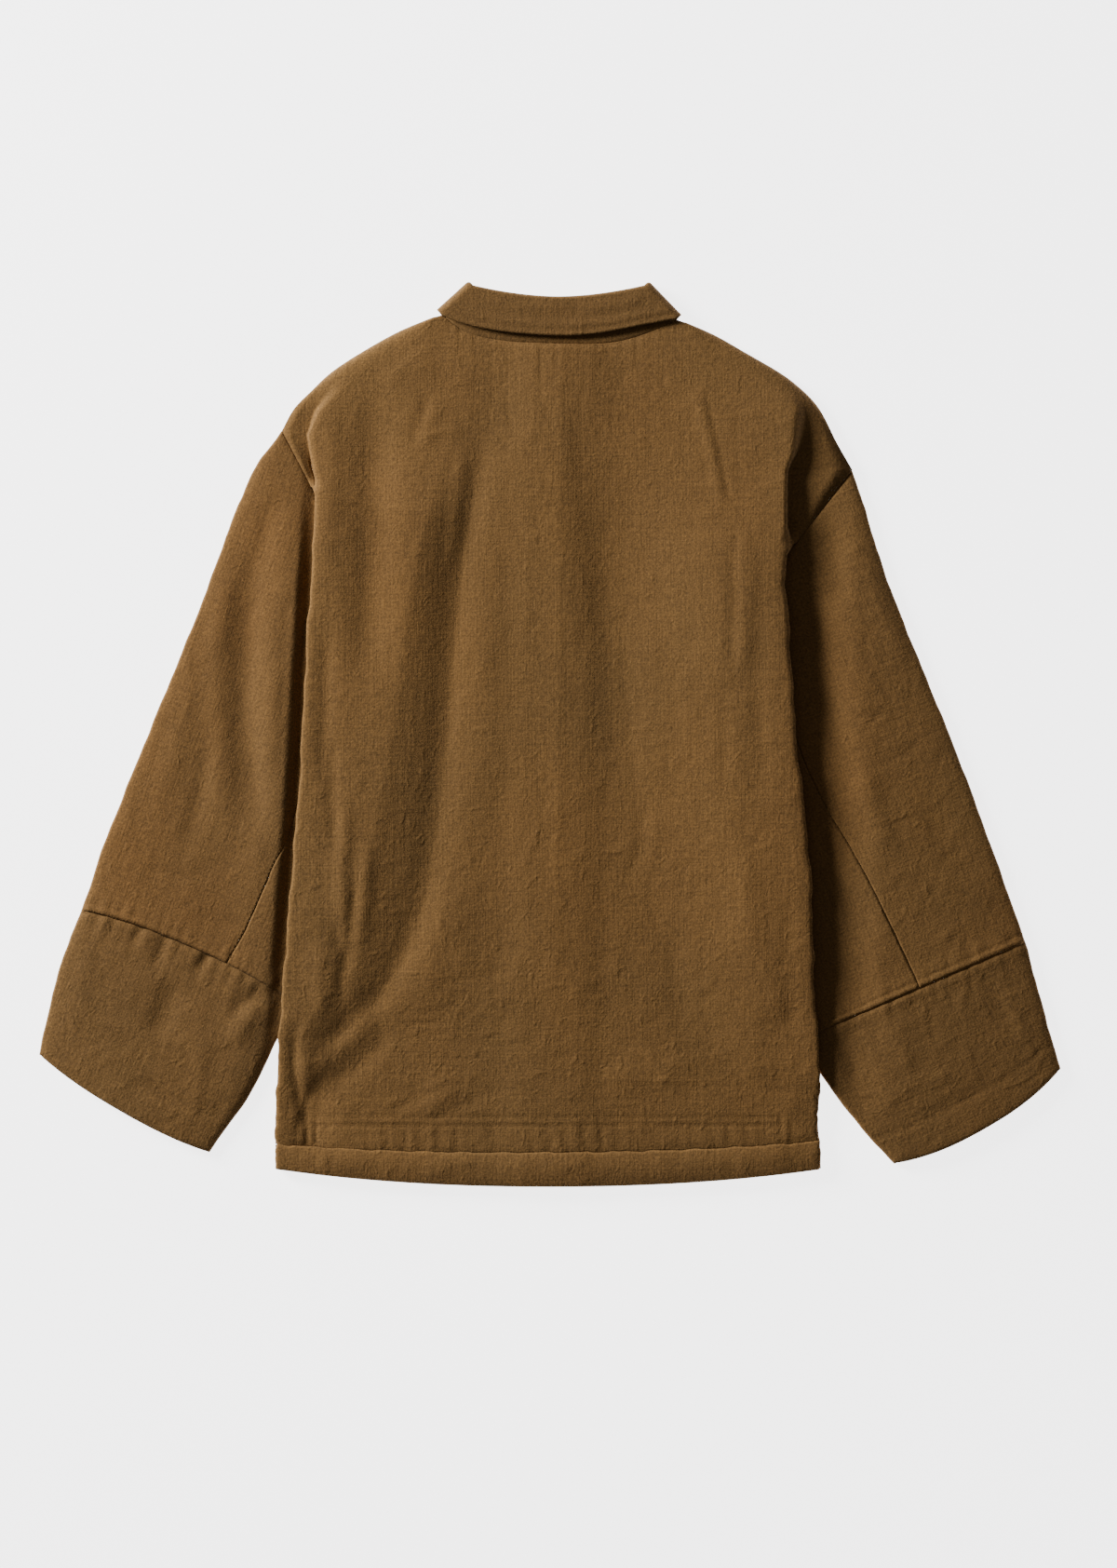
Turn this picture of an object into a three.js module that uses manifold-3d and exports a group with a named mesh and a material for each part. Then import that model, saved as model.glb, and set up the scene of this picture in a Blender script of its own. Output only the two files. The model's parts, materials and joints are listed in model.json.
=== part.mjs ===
// A lightly padded linen work jacket, lying flat with its back up and its neck towards +Y.
// Millimetres, +Z up. The surface it lies on is z = 0 and the origin is under its middle.
import * as THREE from 'three';
import Module from 'manifold-3d';

const wasm = await Module();
wasm.setup();

// Cloth and clearances
const CLOTH = 2.4; // linen, thin wadding and lining sewn as one wall
const HALF = CLOTH / 2;
const LAYER = 3.0; // one wall and the air up to the next wall lying on it
const SEAM = 0.4; // clearance between two pieces sewn together
const ROLLED_SEAM = 1.0; // the same where the seam lies in the turned edge of the body
const TURN = LAYER / 2; // radius of a wall's middle where it folds back on itself
const FLOOR_LAYER = HALF; // height of the middle of the lowest wall
const SECOND_LAYER = FLOOR_LAYER + LAYER;
const ROLL_RADIUS = 1.5; // tightest bend of a rolled edge

// Centre front: the line on which the two fronts lap
const CENTRE = { hemX: -0.7, hemY: -363, neckX: 8, neckY: 250 };
const LAP = 15; // how far each front passes the centre line
const LAP_RISE = 4.0; // height of the inner front above the outer one in the lap
const LAP_RAMP = 12;
const BACK_OVER_LAP = 1.0; // height of the back above the lap, over its height elsewhere

// The body's sections from hem to neck, as they lie. Each row gives, on one side, the outline
// point, where the side's fold ends, and where the raised side slopes down to the middle.
const SIDE_COLUMNS = ['edgeX', 'edgeY', 'foldX', 'topX', 'footX', 'sideZ'];
const LEFT_SIDE = readTable(SIDE_COLUMNS, [
  [-220.0, -350.0, -211.0, -200.5, -184.0, 6.6],
  [-221.0, -330.5, -212.0, -201.5, -184.0, 6.6],
  [-221.0, -310.0, -212.0, -201.5, -180.5, 7.4],
  [-219.5, -282.5, -210.5, -199.0, -175.0, 8.6],
  [-218.0, -247.0, -209.0, -196.0, -156.0, 11.8],
  [-215.5, -211.0, -206.0, -190.0, -138.0, 12.2],
  [-212.5, -173.5, -203.0, -180.0, -123.0, 12.4],
  [-209.0, -128.5, -198.5, -166.0, -107.0, 12.6],
  [-204.5, -76.0, -194.0, -155.0, -95.0, 12.8],
  [-200.0, -16.0, -189.5, -143.0, -84.0, 12.8],
  [-197.0, 51.5, -185.5, -129.0, -77.5, 12.8],
  [-193.0, 111.5, -182.0, -120.0, -75.0, 12.8],
  [-190.0, 156.5, -180.5, -115.0, -75.0, 12.8],
  [-188.5, 192.4, -179.0, -112.0, -75.5, 12.6],
  [-197.5, 209.6, -187.0, -111.0, -75.5, 12.2],
  [-206.5, 226.8, -190.5, -110.5, -75.5, 11.6],
  [-215.5, 244.0, -193.0, -110.0, -75.5, 10.8],
  [-206.0, 261.5, -185.0, -109.5, -75.5, 10.0],
  [-191.5, 276.5, -170.0, -108.5, -75.0, 9.4],
  [-175.0, 291.5, -155.0, -106.5, -75.0, 8.8],
  [-152.5, 306.5, -133.0, -102.0, -74.0, 8.2],
  [-120.5, 324.5, -105.0, -84.0, -65.0, 7.6],
  [-98.0, 334.0, -93.0, -76.0, -60.0, 7.3],
  [-87.5, 338.5, -83.5, -68.0, -53.0, 7.2],
]);
const RIGHT_SIDE = readTable(SIDE_COLUMNS, [
  [218.5, -350.0, 209.5, 198.5, 185.5, 6.6],
  [217.0, -328.0, 208.0, 197.0, 183.5, 6.6],
  [215.5, -307.0, 206.5, 196.0, 180.0, 7.4],
  [217.5, -290.0, 208.5, 198.0, 165.0, 8.6],
  [217.5, -270.0, 209.0, 196.0, 140.0, 11.6],
  [213.5, -215.0, 203.5, 182.0, 112.0, 12.0],
  [212.0, -177.5, 202.0, 168.0, 95.0, 12.2],
  [211.0, -132.5, 201.5, 157.0, 82.0, 12.4],
  [207.5, -83.5, 197.5, 146.0, 73.0, 12.4],
  [200.5, -23.5, 191.0, 140.0, 66.0, 12.4],
  [195.5, 36.5, 185.5, 138.0, 62.0, 12.4],
  [192.5, 89.0, 182.5, 138.0, 60.0, 12.4],
  [189.5, 122.5, 180.5, 138.0, 59.0, 12.4],
  [191.0, 144.2, 181.0, 138.0, 58.0, 12.2],
  [209.5, 168.3, 189.5, 138.0, 58.0, 11.8],
  [227.0, 191.0, 189.5, 138.0, 58.0, 11.2],
  [243.5, 212.5, 190.0, 138.0, 58.0, 10.4],
  [232.0, 233.0, 194.5, 136.0, 58.0, 9.8],
  [217.0, 261.5, 196.0, 133.0, 58.0, 9.2],
  [194.5, 284.0, 174.0, 127.0, 58.0, 8.6],
  [158.0, 306.5, 140.0, 112.0, 60.0, 8.0],
  [131.5, 321.5, 115.0, 97.0, 62.0, 7.6],
  [114.0, 329.0, 109.0, 89.0, 62.0, 7.3],
  [104.0, 333.5, 100.0, 83.5, 62.0, 7.2],
]);
// For the same rows: height of the side or shoulder seam, height of the middle of the back,
// how far the row sags towards the hem, how square that sag is and how much squarer at the left.
const SHARED = readTable(['seamZ', 'midZ', 'sag', 'square', 'skew'], [
  [2.7, 7.2, 14.0, 2.2, 0],
  [2.7, 7.2, 8.0, 2.4, 0],
  [2.7, 7.2, 2.0, 2.0, 0],
  [2.7, 7.2, 0.0, 2.0, 0],
  [8.7, 7.2, 0.0, 2.0, 0],
  [8.7, 7.2, 0.0, 2.0, 0],
  [8.7, 7.2, 0.0, 2.0, 0],
  [8.7, 7.2, 0.0, 2.0, 0],
  [8.7, 7.2, 0.0, 2.0, 0],
  [8.7, 7.2, 1.0, 2.0, 0],
  [8.7, 7.2, 2.0, 2.0, 0],
  [8.7, 7.2, 3.0, 2.0, 0],
  [8.7, 7.2, 4.5, 2.0, 0],
  [8.7, 7.2, 7.0, 2.0, 0],
  [2.7, 7.2, 9.0, 2.0, 0],
  [2.7, 7.2, 10.5, 2.0, 0],
  [2.7, 7.2, 12.0, 2.0, 0],
  [2.7, 7.2, 13.5, 2.1, 0],
  [2.7, 7.2, 15.0, 2.2, 0],
  [2.7, 7.2, 17.0, 2.4, 0],
  [2.7, 7.2, 19.0, 2.8, 0.1],
  [2.7, 7.2, 21.0, 3.1, 0.2],
  [5.7, 7.2, 22.0, 3.3, 0.3],
  [5.7, 7.2, 22.5, 3.4, 0.35],
]);
const WING_MARGIN = 1.5; // flat strip of the back beside the armhole seam
const WING_STEP = 11; // width of the step up from it to the raised side
const ROW = { hem: 0, hemSeam: 1, lowestOver: 11, underarm: 13, shoulder: 16, neck: 23 };

// Largest soft folds of the back: a ridge runs from one point to the other
const FOLDS = readTable(['x1', 'y1', 'x2', 'y2', 'width', 'height'], [
  [-132, 200, -140, -20, 9, 2.2],
  [-140, -20, -158, -150, 9, 1.6],
  [-180, 150, -190, -30, 8, 1.4],
  [-112, 270, -118, 215, 8, 1.2],
  [11, 290, 11, -110, 7, 1.0],
  [148, 220, 150, 60, 8, 1.4],
  [150, 60, 152, -140, 10, 1.0],
  [-150, -235, -110, -205, 8, 1.6],
  [-115, -300, -70, -275, 8, 1.4],
  [60, 160, 70, -90, 14, 1.0],
]);

// The fronts' sections from hem to neck: outline point, height there, the sleeve's slope under
// the front, where the row meets the centre, and how the row turns from side to neck.
const FRONT_COLUMNS = ['edgeX', 'edgeY', 'edgeZ', 'topX', 'footX', 'lapY', 'turn', 'rolled'];
const LEFT_FRONT = readTable(FRONT_COLUMNS, [
  [-220.0, -350.0, 1.2, -205.0, -195.0, -363.5, 0, 1],
  [-221.0, -330.5, 1.2, -205.0, -195.0, -337.0, 0, 1],
  [-221.0, -310.0, 1.2, -205.0, -195.0, -312.0, 0, 1],
  [-219.5, -282.5, 1.2, -207.0, -196.0, -283.0, 0, 1],
  [-218.0, -247.0, 7.2, -213.5, -201.0, -250.0, 0, 1],
  [-215.5, -211.0, 7.2, -200.0, -186.0, -214.0, 0, 1],
  [-212.5, -173.5, 7.2, -180.5, -166.0, -178.0, 0, 1],
  [-209.0, -128.5, 7.2, -161.0, -147.0, -135.0, 0, 1],
  [-204.5, -76.0, 7.2, -146.0, -132.0, -86.0, 0, 1],
  [-200.0, -16.0, 7.2, -138.5, -124.5, -32.0, 0, 1],
  [-197.5, 35.0, 7.2, -138.5, -124.5, 10.0, 0, 1],
  [-195.5, 66.0, 7.2, -140.0, -126.0, 35.0, 0, 1],
  [-168.0, 84.0, 7.2, -142.5, -128.0, 51.0, 0, 0],
  [-144.5, 98.0, 7.2, -143.0, -130.0, 65.0, 0, 0],
  [-147.5, 112.0, 4.2, -144.0, -132.0, 78.0, 0, 0],
  [-153.0, 127.0, 1.2, -147.0, -138.0, 91.0, 0, 0],
  [-171.3, 159.5, 1.2, -165.0, -155.0, 112.0, 0.15, 0],
  [-188.5, 192.4, 1.2, -182.0, -172.0, 133.0, 0.3, 0],
  [-202.0, 218.2, 1.2, -195.0, -185.0, 150.0, 0.4, 0],
  [-215.5, 244.0, 1.2, -206.0, -195.0, 167.0, 0.5, 0],
  [-206.0, 261.5, 1.2, -195.0, -185.0, 180.0, 0.6, 1],
  [-191.5, 276.5, 1.2, -181.0, -171.0, 192.0, 0.7, 1],
  [-175.0, 291.5, 1.2, -165.0, -155.0, 204.0, 0.8, 1],
  [-152.5, 306.5, 1.2, -143.0, -134.0, 217.0, 0.9, 1],
  [-120.5, 324.5, 1.2, -112.0, -104.0, 233.0, 1, 1],
  [-98.0, 334.0, 4.2, -91.0, -84.0, 243.0, 1, 1],
  [-87.5, 338.5, 4.2, -81.0, -74.0, 250.0, 1, 1],
]);
const RIGHT_FRONT = readTable(FRONT_COLUMNS, [
  [218.5, -350.0, 1.2, 205.0, 195.0, -363.5, 0, 1],
  [217.0, -328.0, 1.2, 205.0, 195.0, -337.0, 0, 1],
  [215.5, -307.0, 1.2, 205.0, 195.0, -312.0, 0, 1],
  [217.5, -290.0, 1.2, 206.0, 196.0, -289.0, 0, 1],
  [217.5, -270.0, 7.2, 212.5, 199.0, -268.0, 0, 1],
  [215.5, -243.0, 7.2, 197.5, 184.0, -242.0, 0, 1],
  [213.5, -215.0, 7.2, 184.5, 171.0, -215.0, 0, 1],
  [212.0, -177.5, 7.2, 170.5, 157.0, -179.0, 0, 1],
  [211.0, -132.5, 7.2, 156.5, 143.0, -135.0, 0, 1],
  [207.5, -83.5, 7.2, 145.0, 131.0, -88.0, 0, 1],
  [200.5, -23.5, 7.2, 138.5, 124.5, -36.0, 0, 1],
  [196.5, 25.0, 7.2, 140.5, 126.5, 6.0, 0, 1],
  [195.0, 42.0, 7.2, 142.5, 128.5, 20.0, 0, 1],
  [169.0, 58.0, 7.2, 144.5, 130.5, 34.0, 0, 0],
  [147.5, 72.0, 7.2, 146.0, 133.5, 47.0, 0, 0],
  [151.0, 86.0, 4.2, 147.0, 135.0, 60.0, 0, 0],
  [156.0, 100.5, 1.2, 150.0, 141.0, 74.0, 0, 0],
  [173.8, 121.9, 1.2, 167.0, 158.0, 96.0, 0.15, 0],
  [191.0, 144.2, 1.2, 184.0, 175.0, 118.0, 0.3, 0],
  [217.0, 178.0, 1.2, 209.0, 200.0, 141.0, 0.4, 0],
  [243.5, 212.5, 1.2, 233.0, 222.0, 162.0, 0.5, 0],
  [232.0, 233.0, 1.2, 222.0, 212.0, 176.0, 0.6, 1],
  [217.0, 261.5, 1.2, 206.0, 196.0, 191.0, 0.7, 1],
  [194.5, 284.0, 1.2, 184.0, 174.0, 205.0, 0.8, 1],
  [158.0, 306.5, 1.2, 149.0, 141.0, 220.0, 0.9, 1],
  [131.5, 321.5, 1.2, 123.0, 115.0, 234.0, 1, 1],
  [114.0, 329.0, 4.2, 107.0, 100.0, 243.0, 1, 1],
  [104.0, 333.5, 4.2, 97.0, 90.0, 250.0, 1, 1],
]);

// The sleeves' sections from armhole to cuff opening: outer and inner edge of the flattened
// tube, and where across its back the seam between upper and under sleeve lies.
const SLEEVE_COLUMNS = ['outerX', 'outerY', 'innerX', 'innerY', 'seamAt'];
const LEFT_SLEEVE = readTable(SLEEVE_COLUMNS, [
  [-215.5, 244.0, -154.0, 126.5, 0.74],
  [-236.0, 216.5, -145.0, 90.5, 0.73],
  [-250.0, 186.5, -140.5, 55.0, 0.72],
  [-263.0, 152.5, -139.0, 17.5, 0.71],
  [-278.0, 111.5, -140.0, -20.0, 0.7],
  [-293.5, 72.5, -143.5, -53.5, 0.69],
  [-310.0, 32.5, -149.5, -87.5, 0.69],
  [-327.5, -10.0, -158.0, -117.5, 0.69],
  [-344.5, -52.0, -170.0, -147.5, 0.68],
  [-360.5, -92.5, -184.0, -179.0, 0.68],
  [-377.0, -141.5, -204.5, -217.0, 0.67],
  [-390.5, -175.0, -218.0, -243.5, 0.67],
  [-401.5, -213.5, -240.5, -288.5, 0.67],
  [-411.0, -257.5, -274.0, -336.5, 0.67],
]);
const RIGHT_SLEEVE = readTable(SLEEVE_COLUMNS, [
  [243.5, 212.5, 157.0, 100.0, 0.7],
  [253.0, 184.0, 146.5, 57.5, 0.68],
  [262.0, 154.0, 141.5, 17.5, 0.66],
  [272.5, 122.5, 140.0, -20.0, 0.64],
  [285.5, 89.0, 142.0, -55.0, 0.62],
  [299.5, 54.5, 147.5, -89.0, 0.6],
  [315.5, 15.5, 155.0, -121.0, 0.57],
  [331.0, -23.5, 164.5, -153.5, 0.53],
  [347.0, -66.5, 175.0, -185.0, 0.5],
  [364.0, -113.5, 187.0, -216.5, 0.48],
  [383.0, -167.5, 200.5, -246.5, 0.465],
  [392.0, -200.5, 221.5, -278.5, 0.465],
  [401.5, -235.0, 248.0, -314.0, 0.465],
  [411.0, -269.0, 277.0, -345.5, 0.465],
]);
const CUFF_ROW = 10;
const OPENING_ROW = 13;
const SLEEVE_LOFT = 2.8; // how far the upper wall of a sleeve stands off the lower one
const COVER_RAMP = 22; // over this width the sleeve flattens where the body lies on it
const PUCKERS = 7; // gathers across a cuff where it is sewn to the sleeve
const PUCKER_HEIGHT = 0.7;

// Collar. At each side it turns from the back of the neck to the front about a line from the
// edge of its leaf to its roll; the leaf's points and the ends of the roll are at the front.
const COLLAR = {
  leftEdge: [-87.1, 337.2], leftRoll: [-61.3, 360.6], rightEdge: [102.0, 333.4], rightRoll: [75.7, 360.6],
  rollSag: 8.6, rollSquare: 1.8, leafSag: 15.0, leafSquareLeft: 3.0, leafSquareRight: 1.0,
  frontRollY: 281, frontRollX: 14, frontRollStraight: 0.6,
  pointX: 58, pointY: 228, leafBow: 7, standEndX: 2,
  middle: FLOOR_LAYER + 1.5 * LAYER, // height about which the collar turns to the front
};

const STAND_RISE_FROM = 7; // from the centre line to where the stand's foot starts to rise
const LEAF_MARGIN = 20; // how far round the leaf the front over it stays raised

const BUTTON = { radius: 9, thickness: 1.8, count: 5, topY: 205, pitch: 122, hole: 1.1, spread: 2.2 };
const POCKET = { clearance: 0.6, ceiling: 2.1, coverTop: 3.4, coverRadius: 11, foot: 2.5, sides: 12 };

// Moves the outline's middle onto the origin
const ORIGIN_SHIFT = { x: 0.014, y: 0.237 };

// Finishes
const LINEN = new THREE.MeshStandardMaterial({ color: 0x6a4c2a, roughness: 0.92, metalness: 0 });
const HORN = new THREE.MeshStandardMaterial({ color: 0x3a2818, roughness: 0.45, metalness: 0 });

const jacket = new THREE.Group();

function readTable(columns, rows) {
  return rows.map((row) => Object.fromEntries(columns.map((name, i) => [name, row[i]])));
}

function mix(a, b, t) {
  return a + (b - a) * t;
}

function clamp01(t) {
  return Math.min(1, Math.max(0, t));
}

function smooth(t) {
  const c = clamp01(t);
  return c * c * (3 - 2 * c);
}

// One column of a table, straight between its rows
function read(table, column, row) {
  const low = Math.min(Math.max(Math.floor(row), 0), table.length - 2);
  return mix(table[low][column], table[low + 1][column], row - low);
}

function readRow(table, row) {
  const found = {};
  for (const column of Object.keys(table[0])) found[column] = read(table, column, row);
  return found;
}

// Numbers from a to b in equal steps, both ends included
function steps(a, b, count) {
  return Array.from({ length: count + 1 }, (_, i) => mix(a, b, i / count));
}

function centreX(y) {
  const t = (y - CENTRE.hemY) / (CENTRE.neckY - CENTRE.hemY);
  return mix(CENTRE.hemX, CENTRE.neckX, t);
}

// The direction of a line of points at each of its points
function directions(points, closed) {
  const count = points.length;
  const slope = (a, b) => {
    const step = points[b].clone().sub(points[a]);
    const length = step.length();
    return { length, unit: step.divideScalar(length) };
  };
  return points.map((_, i) => {
    if (closed || (i > 0 && i < count - 1)) {
      const before = slope((i + count - 1) % count, i);
      const after = slope(i, (i + 1) % count);
      return before.unit.multiplyScalar(after.length).addScaledVector(after.unit, before.length);
    }
    const near = i === 0 ? slope(0, 1) : slope(count - 2, count - 1);
    const far = i === 0 ? slope(1, 2) : slope(count - 3, count - 2);
    const bend = near.length / (near.length + far.length);
    return near.unit.clone().multiplyScalar(1 + bend).addScaledVector(far.unit, -bend);
  });
}

// A closed wall of even thickness about a grid of points. A tube's rows close on themselves.
function clothSolid(grid, tube = false) {
  const rows = grid.length;
  const columns = grid[0].length;
  const across = grid.map((row) => directions(row, tube));
  const along = grid[0].map((_, j) => directions(grid.map((row) => row[j]), false));
  const positions = [];
  for (const side of [HALF, -HALF]) {
    for (let i = 0; i < rows; i++) {
      for (let j = 0; j < columns; j++) {
        const normal = across[i][j].clone().cross(along[j][i]).normalize();
        const point = grid[i][j].clone().addScaledVector(normal, side);
        positions.push(point.x, point.y, point.z);
      }
    }
  }
  const inner = rows * columns;
  const faces = [];
  const quad = (a, b, c, d) => faces.push(a, b, c, a, c, d);
  const spans = tube ? columns : columns - 1;
  for (let i = 0; i < rows - 1; i++) {
    for (let j = 0; j < spans; j++) {
      const next = (j + 1) % columns;
      const [a, b] = [i * columns + j, i * columns + next];
      const [c, d] = [b + columns, a + columns];
      quad(a, b, c, d);
      quad(inner + a, inner + d, inner + c, inner + b);
    }
  }
  for (let j = 0; j < spans; j++) {
    const next = (j + 1) % columns;
    const last = (rows - 1) * columns;
    quad(j, inner + j, inner + next, next);
    quad(last + j, last + next, inner + last + next, inner + last + j);
  }
  if (!tube) {
    for (let i = 0; i < rows - 1; i++) {
      const [a, d] = [i * columns, (i + 1) * columns];
      const [b, c] = [a + columns - 1, d + columns - 1];
      quad(a, d, inner + d, inner + a);
      quad(b, inner + b, inner + c, c);
    }
  }
  const geometry = new THREE.BufferGeometry();
  geometry.setAttribute('position', new THREE.Float32BufferAttribute(positions, 3));
  geometry.setIndex(outward(positions, faces));
  return geometry;
}

// The faces in the order that makes the enclosed volume positive
function outward(positions, faces) {
  const corner = (i) => new THREE.Vector3().fromArray(positions, faces[i] * 3);
  let volume = 0;
  for (let i = 0; i < faces.length; i += 3) {
    volume += corner(i).dot(corner(i + 1).cross(corner(i + 2)));
  }
  if (volume > 0) return faces;
  return faces.map((_, i) => faces[i - (i % 3) + (2 - (i % 3))]);
}

function addPiece(name, geometry, material = LINEN) {
  geometry.computeVertexNormals();
  const mesh = new THREE.Mesh(geometry, material);
  mesh.name = name;
  jacket.add(mesh);
}

// Height that the soft folds add at a point of the back
function foldHeight(x, y) {
  let height = 0;
  for (const fold of FOLDS) {
    const [dx, dy] = [fold.x2 - fold.x1, fold.y2 - fold.y1];
    const length = Math.hypot(dx, dy);
    const along = ((x - fold.x1) * dx + (y - fold.y1) * dy) / length;
    const off = ((x - fold.x1) * dy - (y - fold.y1) * dx) / length;
    const taper = 0.3 * length;
    const ends = smooth(along / taper) * smooth((length - along) / taper);
    height += fold.height * ends * Math.exp(-((off / fold.width) ** 2));
  }
  return height;
}

// The rolled side or shoulder edge of the back, from its seam (t = 0) up to the flat (t = 1).
// Where the sleeve comes out from under it, the cloth turns further, onto the sleeve.
function rolledEdge(side, row, under, t) {
  const inward = -Math.sign(side.edgeX);
  const edge = side.edgeX + inward * HALF;
  const rise = side.sideZ - row.seamZ;
  const width = Math.min(Math.abs(side.foldX - edge), (rise * rise) / ROLL_RADIUS);
  const start = mix(Math.asin(ROLLED_SEAM / 2 / rise), -1.35, under);
  const angle = mix(start, Math.PI / 2, t);
  if (angle < 0) {
    const x = edge + inward * TURN * (1 - Math.cos(angle));
    return { x, z: row.seamZ + TURN * Math.sin(angle) };
  }
  return { x: edge + inward * width * (1 - Math.cos(angle)), z: row.seamZ + rise * Math.sin(angle) };
}

// The part of the back beyond its fold, level with the sleeve that it is sewn to
function wingEdge(side, t) {
  const inward = -Math.sign(side.edgeX);
  const seam = side.edgeX + inward * (SEAM / 2);
  const width = Math.abs(side.foldX - seam);
  const stepWidth = Math.min(width - WING_MARGIN, WING_STEP);
  const off = width * t;
  const lift = smooth((off - (width - stepWidth)) / stepWidth);
  return { x: seam + inward * off, z: mix(SECOND_LAYER, side.sideZ, lift) };
}

// Point of the back's middle surface. Key 0 to 8 runs from the left edge to the right edge.
function backPoint(rowAt, key) {
  const row = readRow(SHARED, rowAt);
  const left = readRow(LEFT_SIDE, rowAt);
  const right = readRow(RIGHT_SIDE, rowAt);
  const side = key < 4 ? left : right;
  const fromEdge = key < 4 ? key : 8 - key;
  const isWing = rowAt > ROW.underarm && rowAt <= ROW.shoulder;
  const under = smooth((rowAt - (ROW.lowestOver - 0.6)) / 0.6) * (rowAt <= ROW.underarm ? 1 : 0);
  const edgeEnd = isWing ? wingEdge(side, 1) : rolledEdge(side, row, under, 1);
  let x;
  let z;
  if (fromEdge < 1) {
    ({ x, z } = isWing ? wingEdge(side, fromEdge) : rolledEdge(side, row, under, fromEdge));
  } else if (fromEdge < 2) {
    x = mix(edgeEnd.x, side.topX, fromEdge - 1);
    z = side.sideZ;
  } else if (fromEdge < 3) {
    x = mix(side.topX, side.footX, fromEdge - 2);
    z = mix(side.sideZ, row.midZ, smooth(fromEdge - 2));
  } else {
    const middle = (left.footX + right.footX) / 2;
    x = mix(side.footX, middle, fromEdge - 3);
    z = row.midZ;
  }
  const y = backRowY(rowAt, x);
  const fromCentre = Math.abs(x - centreX(y));
  z += BACK_OVER_LAP * (1 - smooth((fromCentre - LAP - 5) / 25));
  z += foldHeight(x, y) * smooth(fromEdge - 0.6) * smooth((ROW.neck - rowAt) / 2);
  return new THREE.Vector3(x, y, z);
}

// Where a row of the back lies in y at a place along it
function backRowY(rowAt, x) {
  const row = readRow(SHARED, rowAt);
  const left = readRow(LEFT_SIDE, rowAt);
  const right = readRow(RIGHT_SIDE, rowAt);
  const across = clamp01((x - left.edgeX) / (right.edgeX - left.edgeX));
  const square = row.square * (1 + row.skew * (1 - 2 * across));
  const sag = row.sag * (1 - Math.abs(2 * across - 1) ** square);
  return mix(left.edgeY, right.edgeY, across) - sag;
}

const BACK_KEYS = [
  ...steps(0, 1, 5), ...steps(1, 2, 3).slice(1), ...steps(2, 3, 4).slice(1),
  ...steps(3, 5, 8).slice(1), ...steps(5, 6, 3).slice(1), ...steps(6, 7, 3).slice(1),
  ...steps(7, 8, 5).slice(1),
];

function makeBack() {
  const rows = [
    1, 1.5, 2, 3, 4, 5, 6, 7, 8, 9, 10, 10.4, 10.7, 11, 12, 12.5, 13,
    14, 15, 16, 17, 18, 19, 20, 21, 21.5, 22, 22.5, 23,
  ];
  const grid = rows.map((row) => BACK_KEYS.map((key) => backPoint(row, key)));
  for (const point of grid[0]) point.y += SEAM / 2;
  for (const point of grid[grid.length - 1]) point.y -= SEAM;
  addPiece('back', clothSolid(grid));

  const hemRows = steps(ROW.hem, ROW.hemSeam, 4);
  const hem = hemRows.map((row) => BACK_KEYS.map((key) => {
    const point = backPoint(row, key);
    const fromEdge = Math.min(key, 8 - key);
    point.z += hemPuff(row) * smooth(fromEdge - 0.3);
    return point;
  }));
  for (const point of hem[hem.length - 1]) point.y -= SEAM / 2;
  addPiece('hem_band_back', clothSolid(hem));
}

// The turned hem is a little fuller than the cloth above it
function hemPuff(row) {
  return 1.1 * Math.sin(Math.PI * clamp01(row));
}

// How much a front is lifted where the collar's leaf lies under it
function leafLift(x, y, sign) {
  const corner = sign < 0 ? COLLAR.leftEdge : COLLAR.rightEdge;
  const point = [centreX(COLLAR.pointY) + sign * COLLAR.pointX, COLLAR.pointY];
  const [dx, dy] = [point[0] - corner[0], point[1] - corner[1]];
  const outside = (sign * ((y - corner[1]) * dx - (x - corner[0]) * dy)) / Math.hypot(dx, dy);
  const far = Math.max(outside, point[1] - y) - COLLAR.leafBow - LEAF_MARGIN;
  return LAYER * (1 - smooth(far / 12));
}

// Height of a front above its lowest place: over the leaf, and over the outer front in the lap
function frontLift(x, y, sign, rampFrom = LAP) {
  const fromCentre = sign * (x - centreX(y));
  if (sign > 0) return leafLift(x, y, sign) * smooth((fromCentre - rampFrom) / 9);
  return Math.max(leafLift(x, y, sign), LAP_RISE * (1 - smooth((fromCentre - LAP - 1) / LAP_RAMP)));
}

// Point of a front's middle surface. Key 0 to 4 runs from the side edge to the lap edge.
function frontPoint(table, sign, rowAt, key) {
  const row = readRow(table, rowAt);
  const lapX = centreX(row.lapY) - sign * LAP;
  const isRolled = row.rolled > 0.999;
  const edge = row.edgeX - sign * (isRolled ? HALF : SEAM / 2);
  const flat = edge - sign * TURN;
  const angle = (Math.min(key, 1) * Math.PI) / 2;
  let x;
  let z = row.edgeZ;
  if (key < 1) {
    x = isRolled ? edge - sign * TURN * (1 - Math.cos(angle)) : mix(edge, flat, key);
  } else if (key < 2) {
    x = mix(flat, row.topX, key - 1);
  } else if (key < 3) {
    x = mix(row.topX, row.footX, key - 2);
    z = mix(row.edgeZ, FLOOR_LAYER, smooth(key - 2));
  } else {
    x = mix(row.footX, lapX, key - 3);
    z = FLOOR_LAYER;
  }
  const across = clamp01((x - row.edgeX) / (lapX - row.edgeX));
  const bend = mix(across ** 2, 1 - (1 - across) ** 2, row.turn);
  const y = mix(row.edgeY, row.lapY, bend);
  z = Math.max(z, FLOOR_LAYER + frontLift(x, y, sign) * smooth(key - 1));
  if (isRolled) z += (TURN - ROLLED_SEAM / 2) * (1 - Math.sin(angle));
  return new THREE.Vector3(x, y, z);
}

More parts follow.
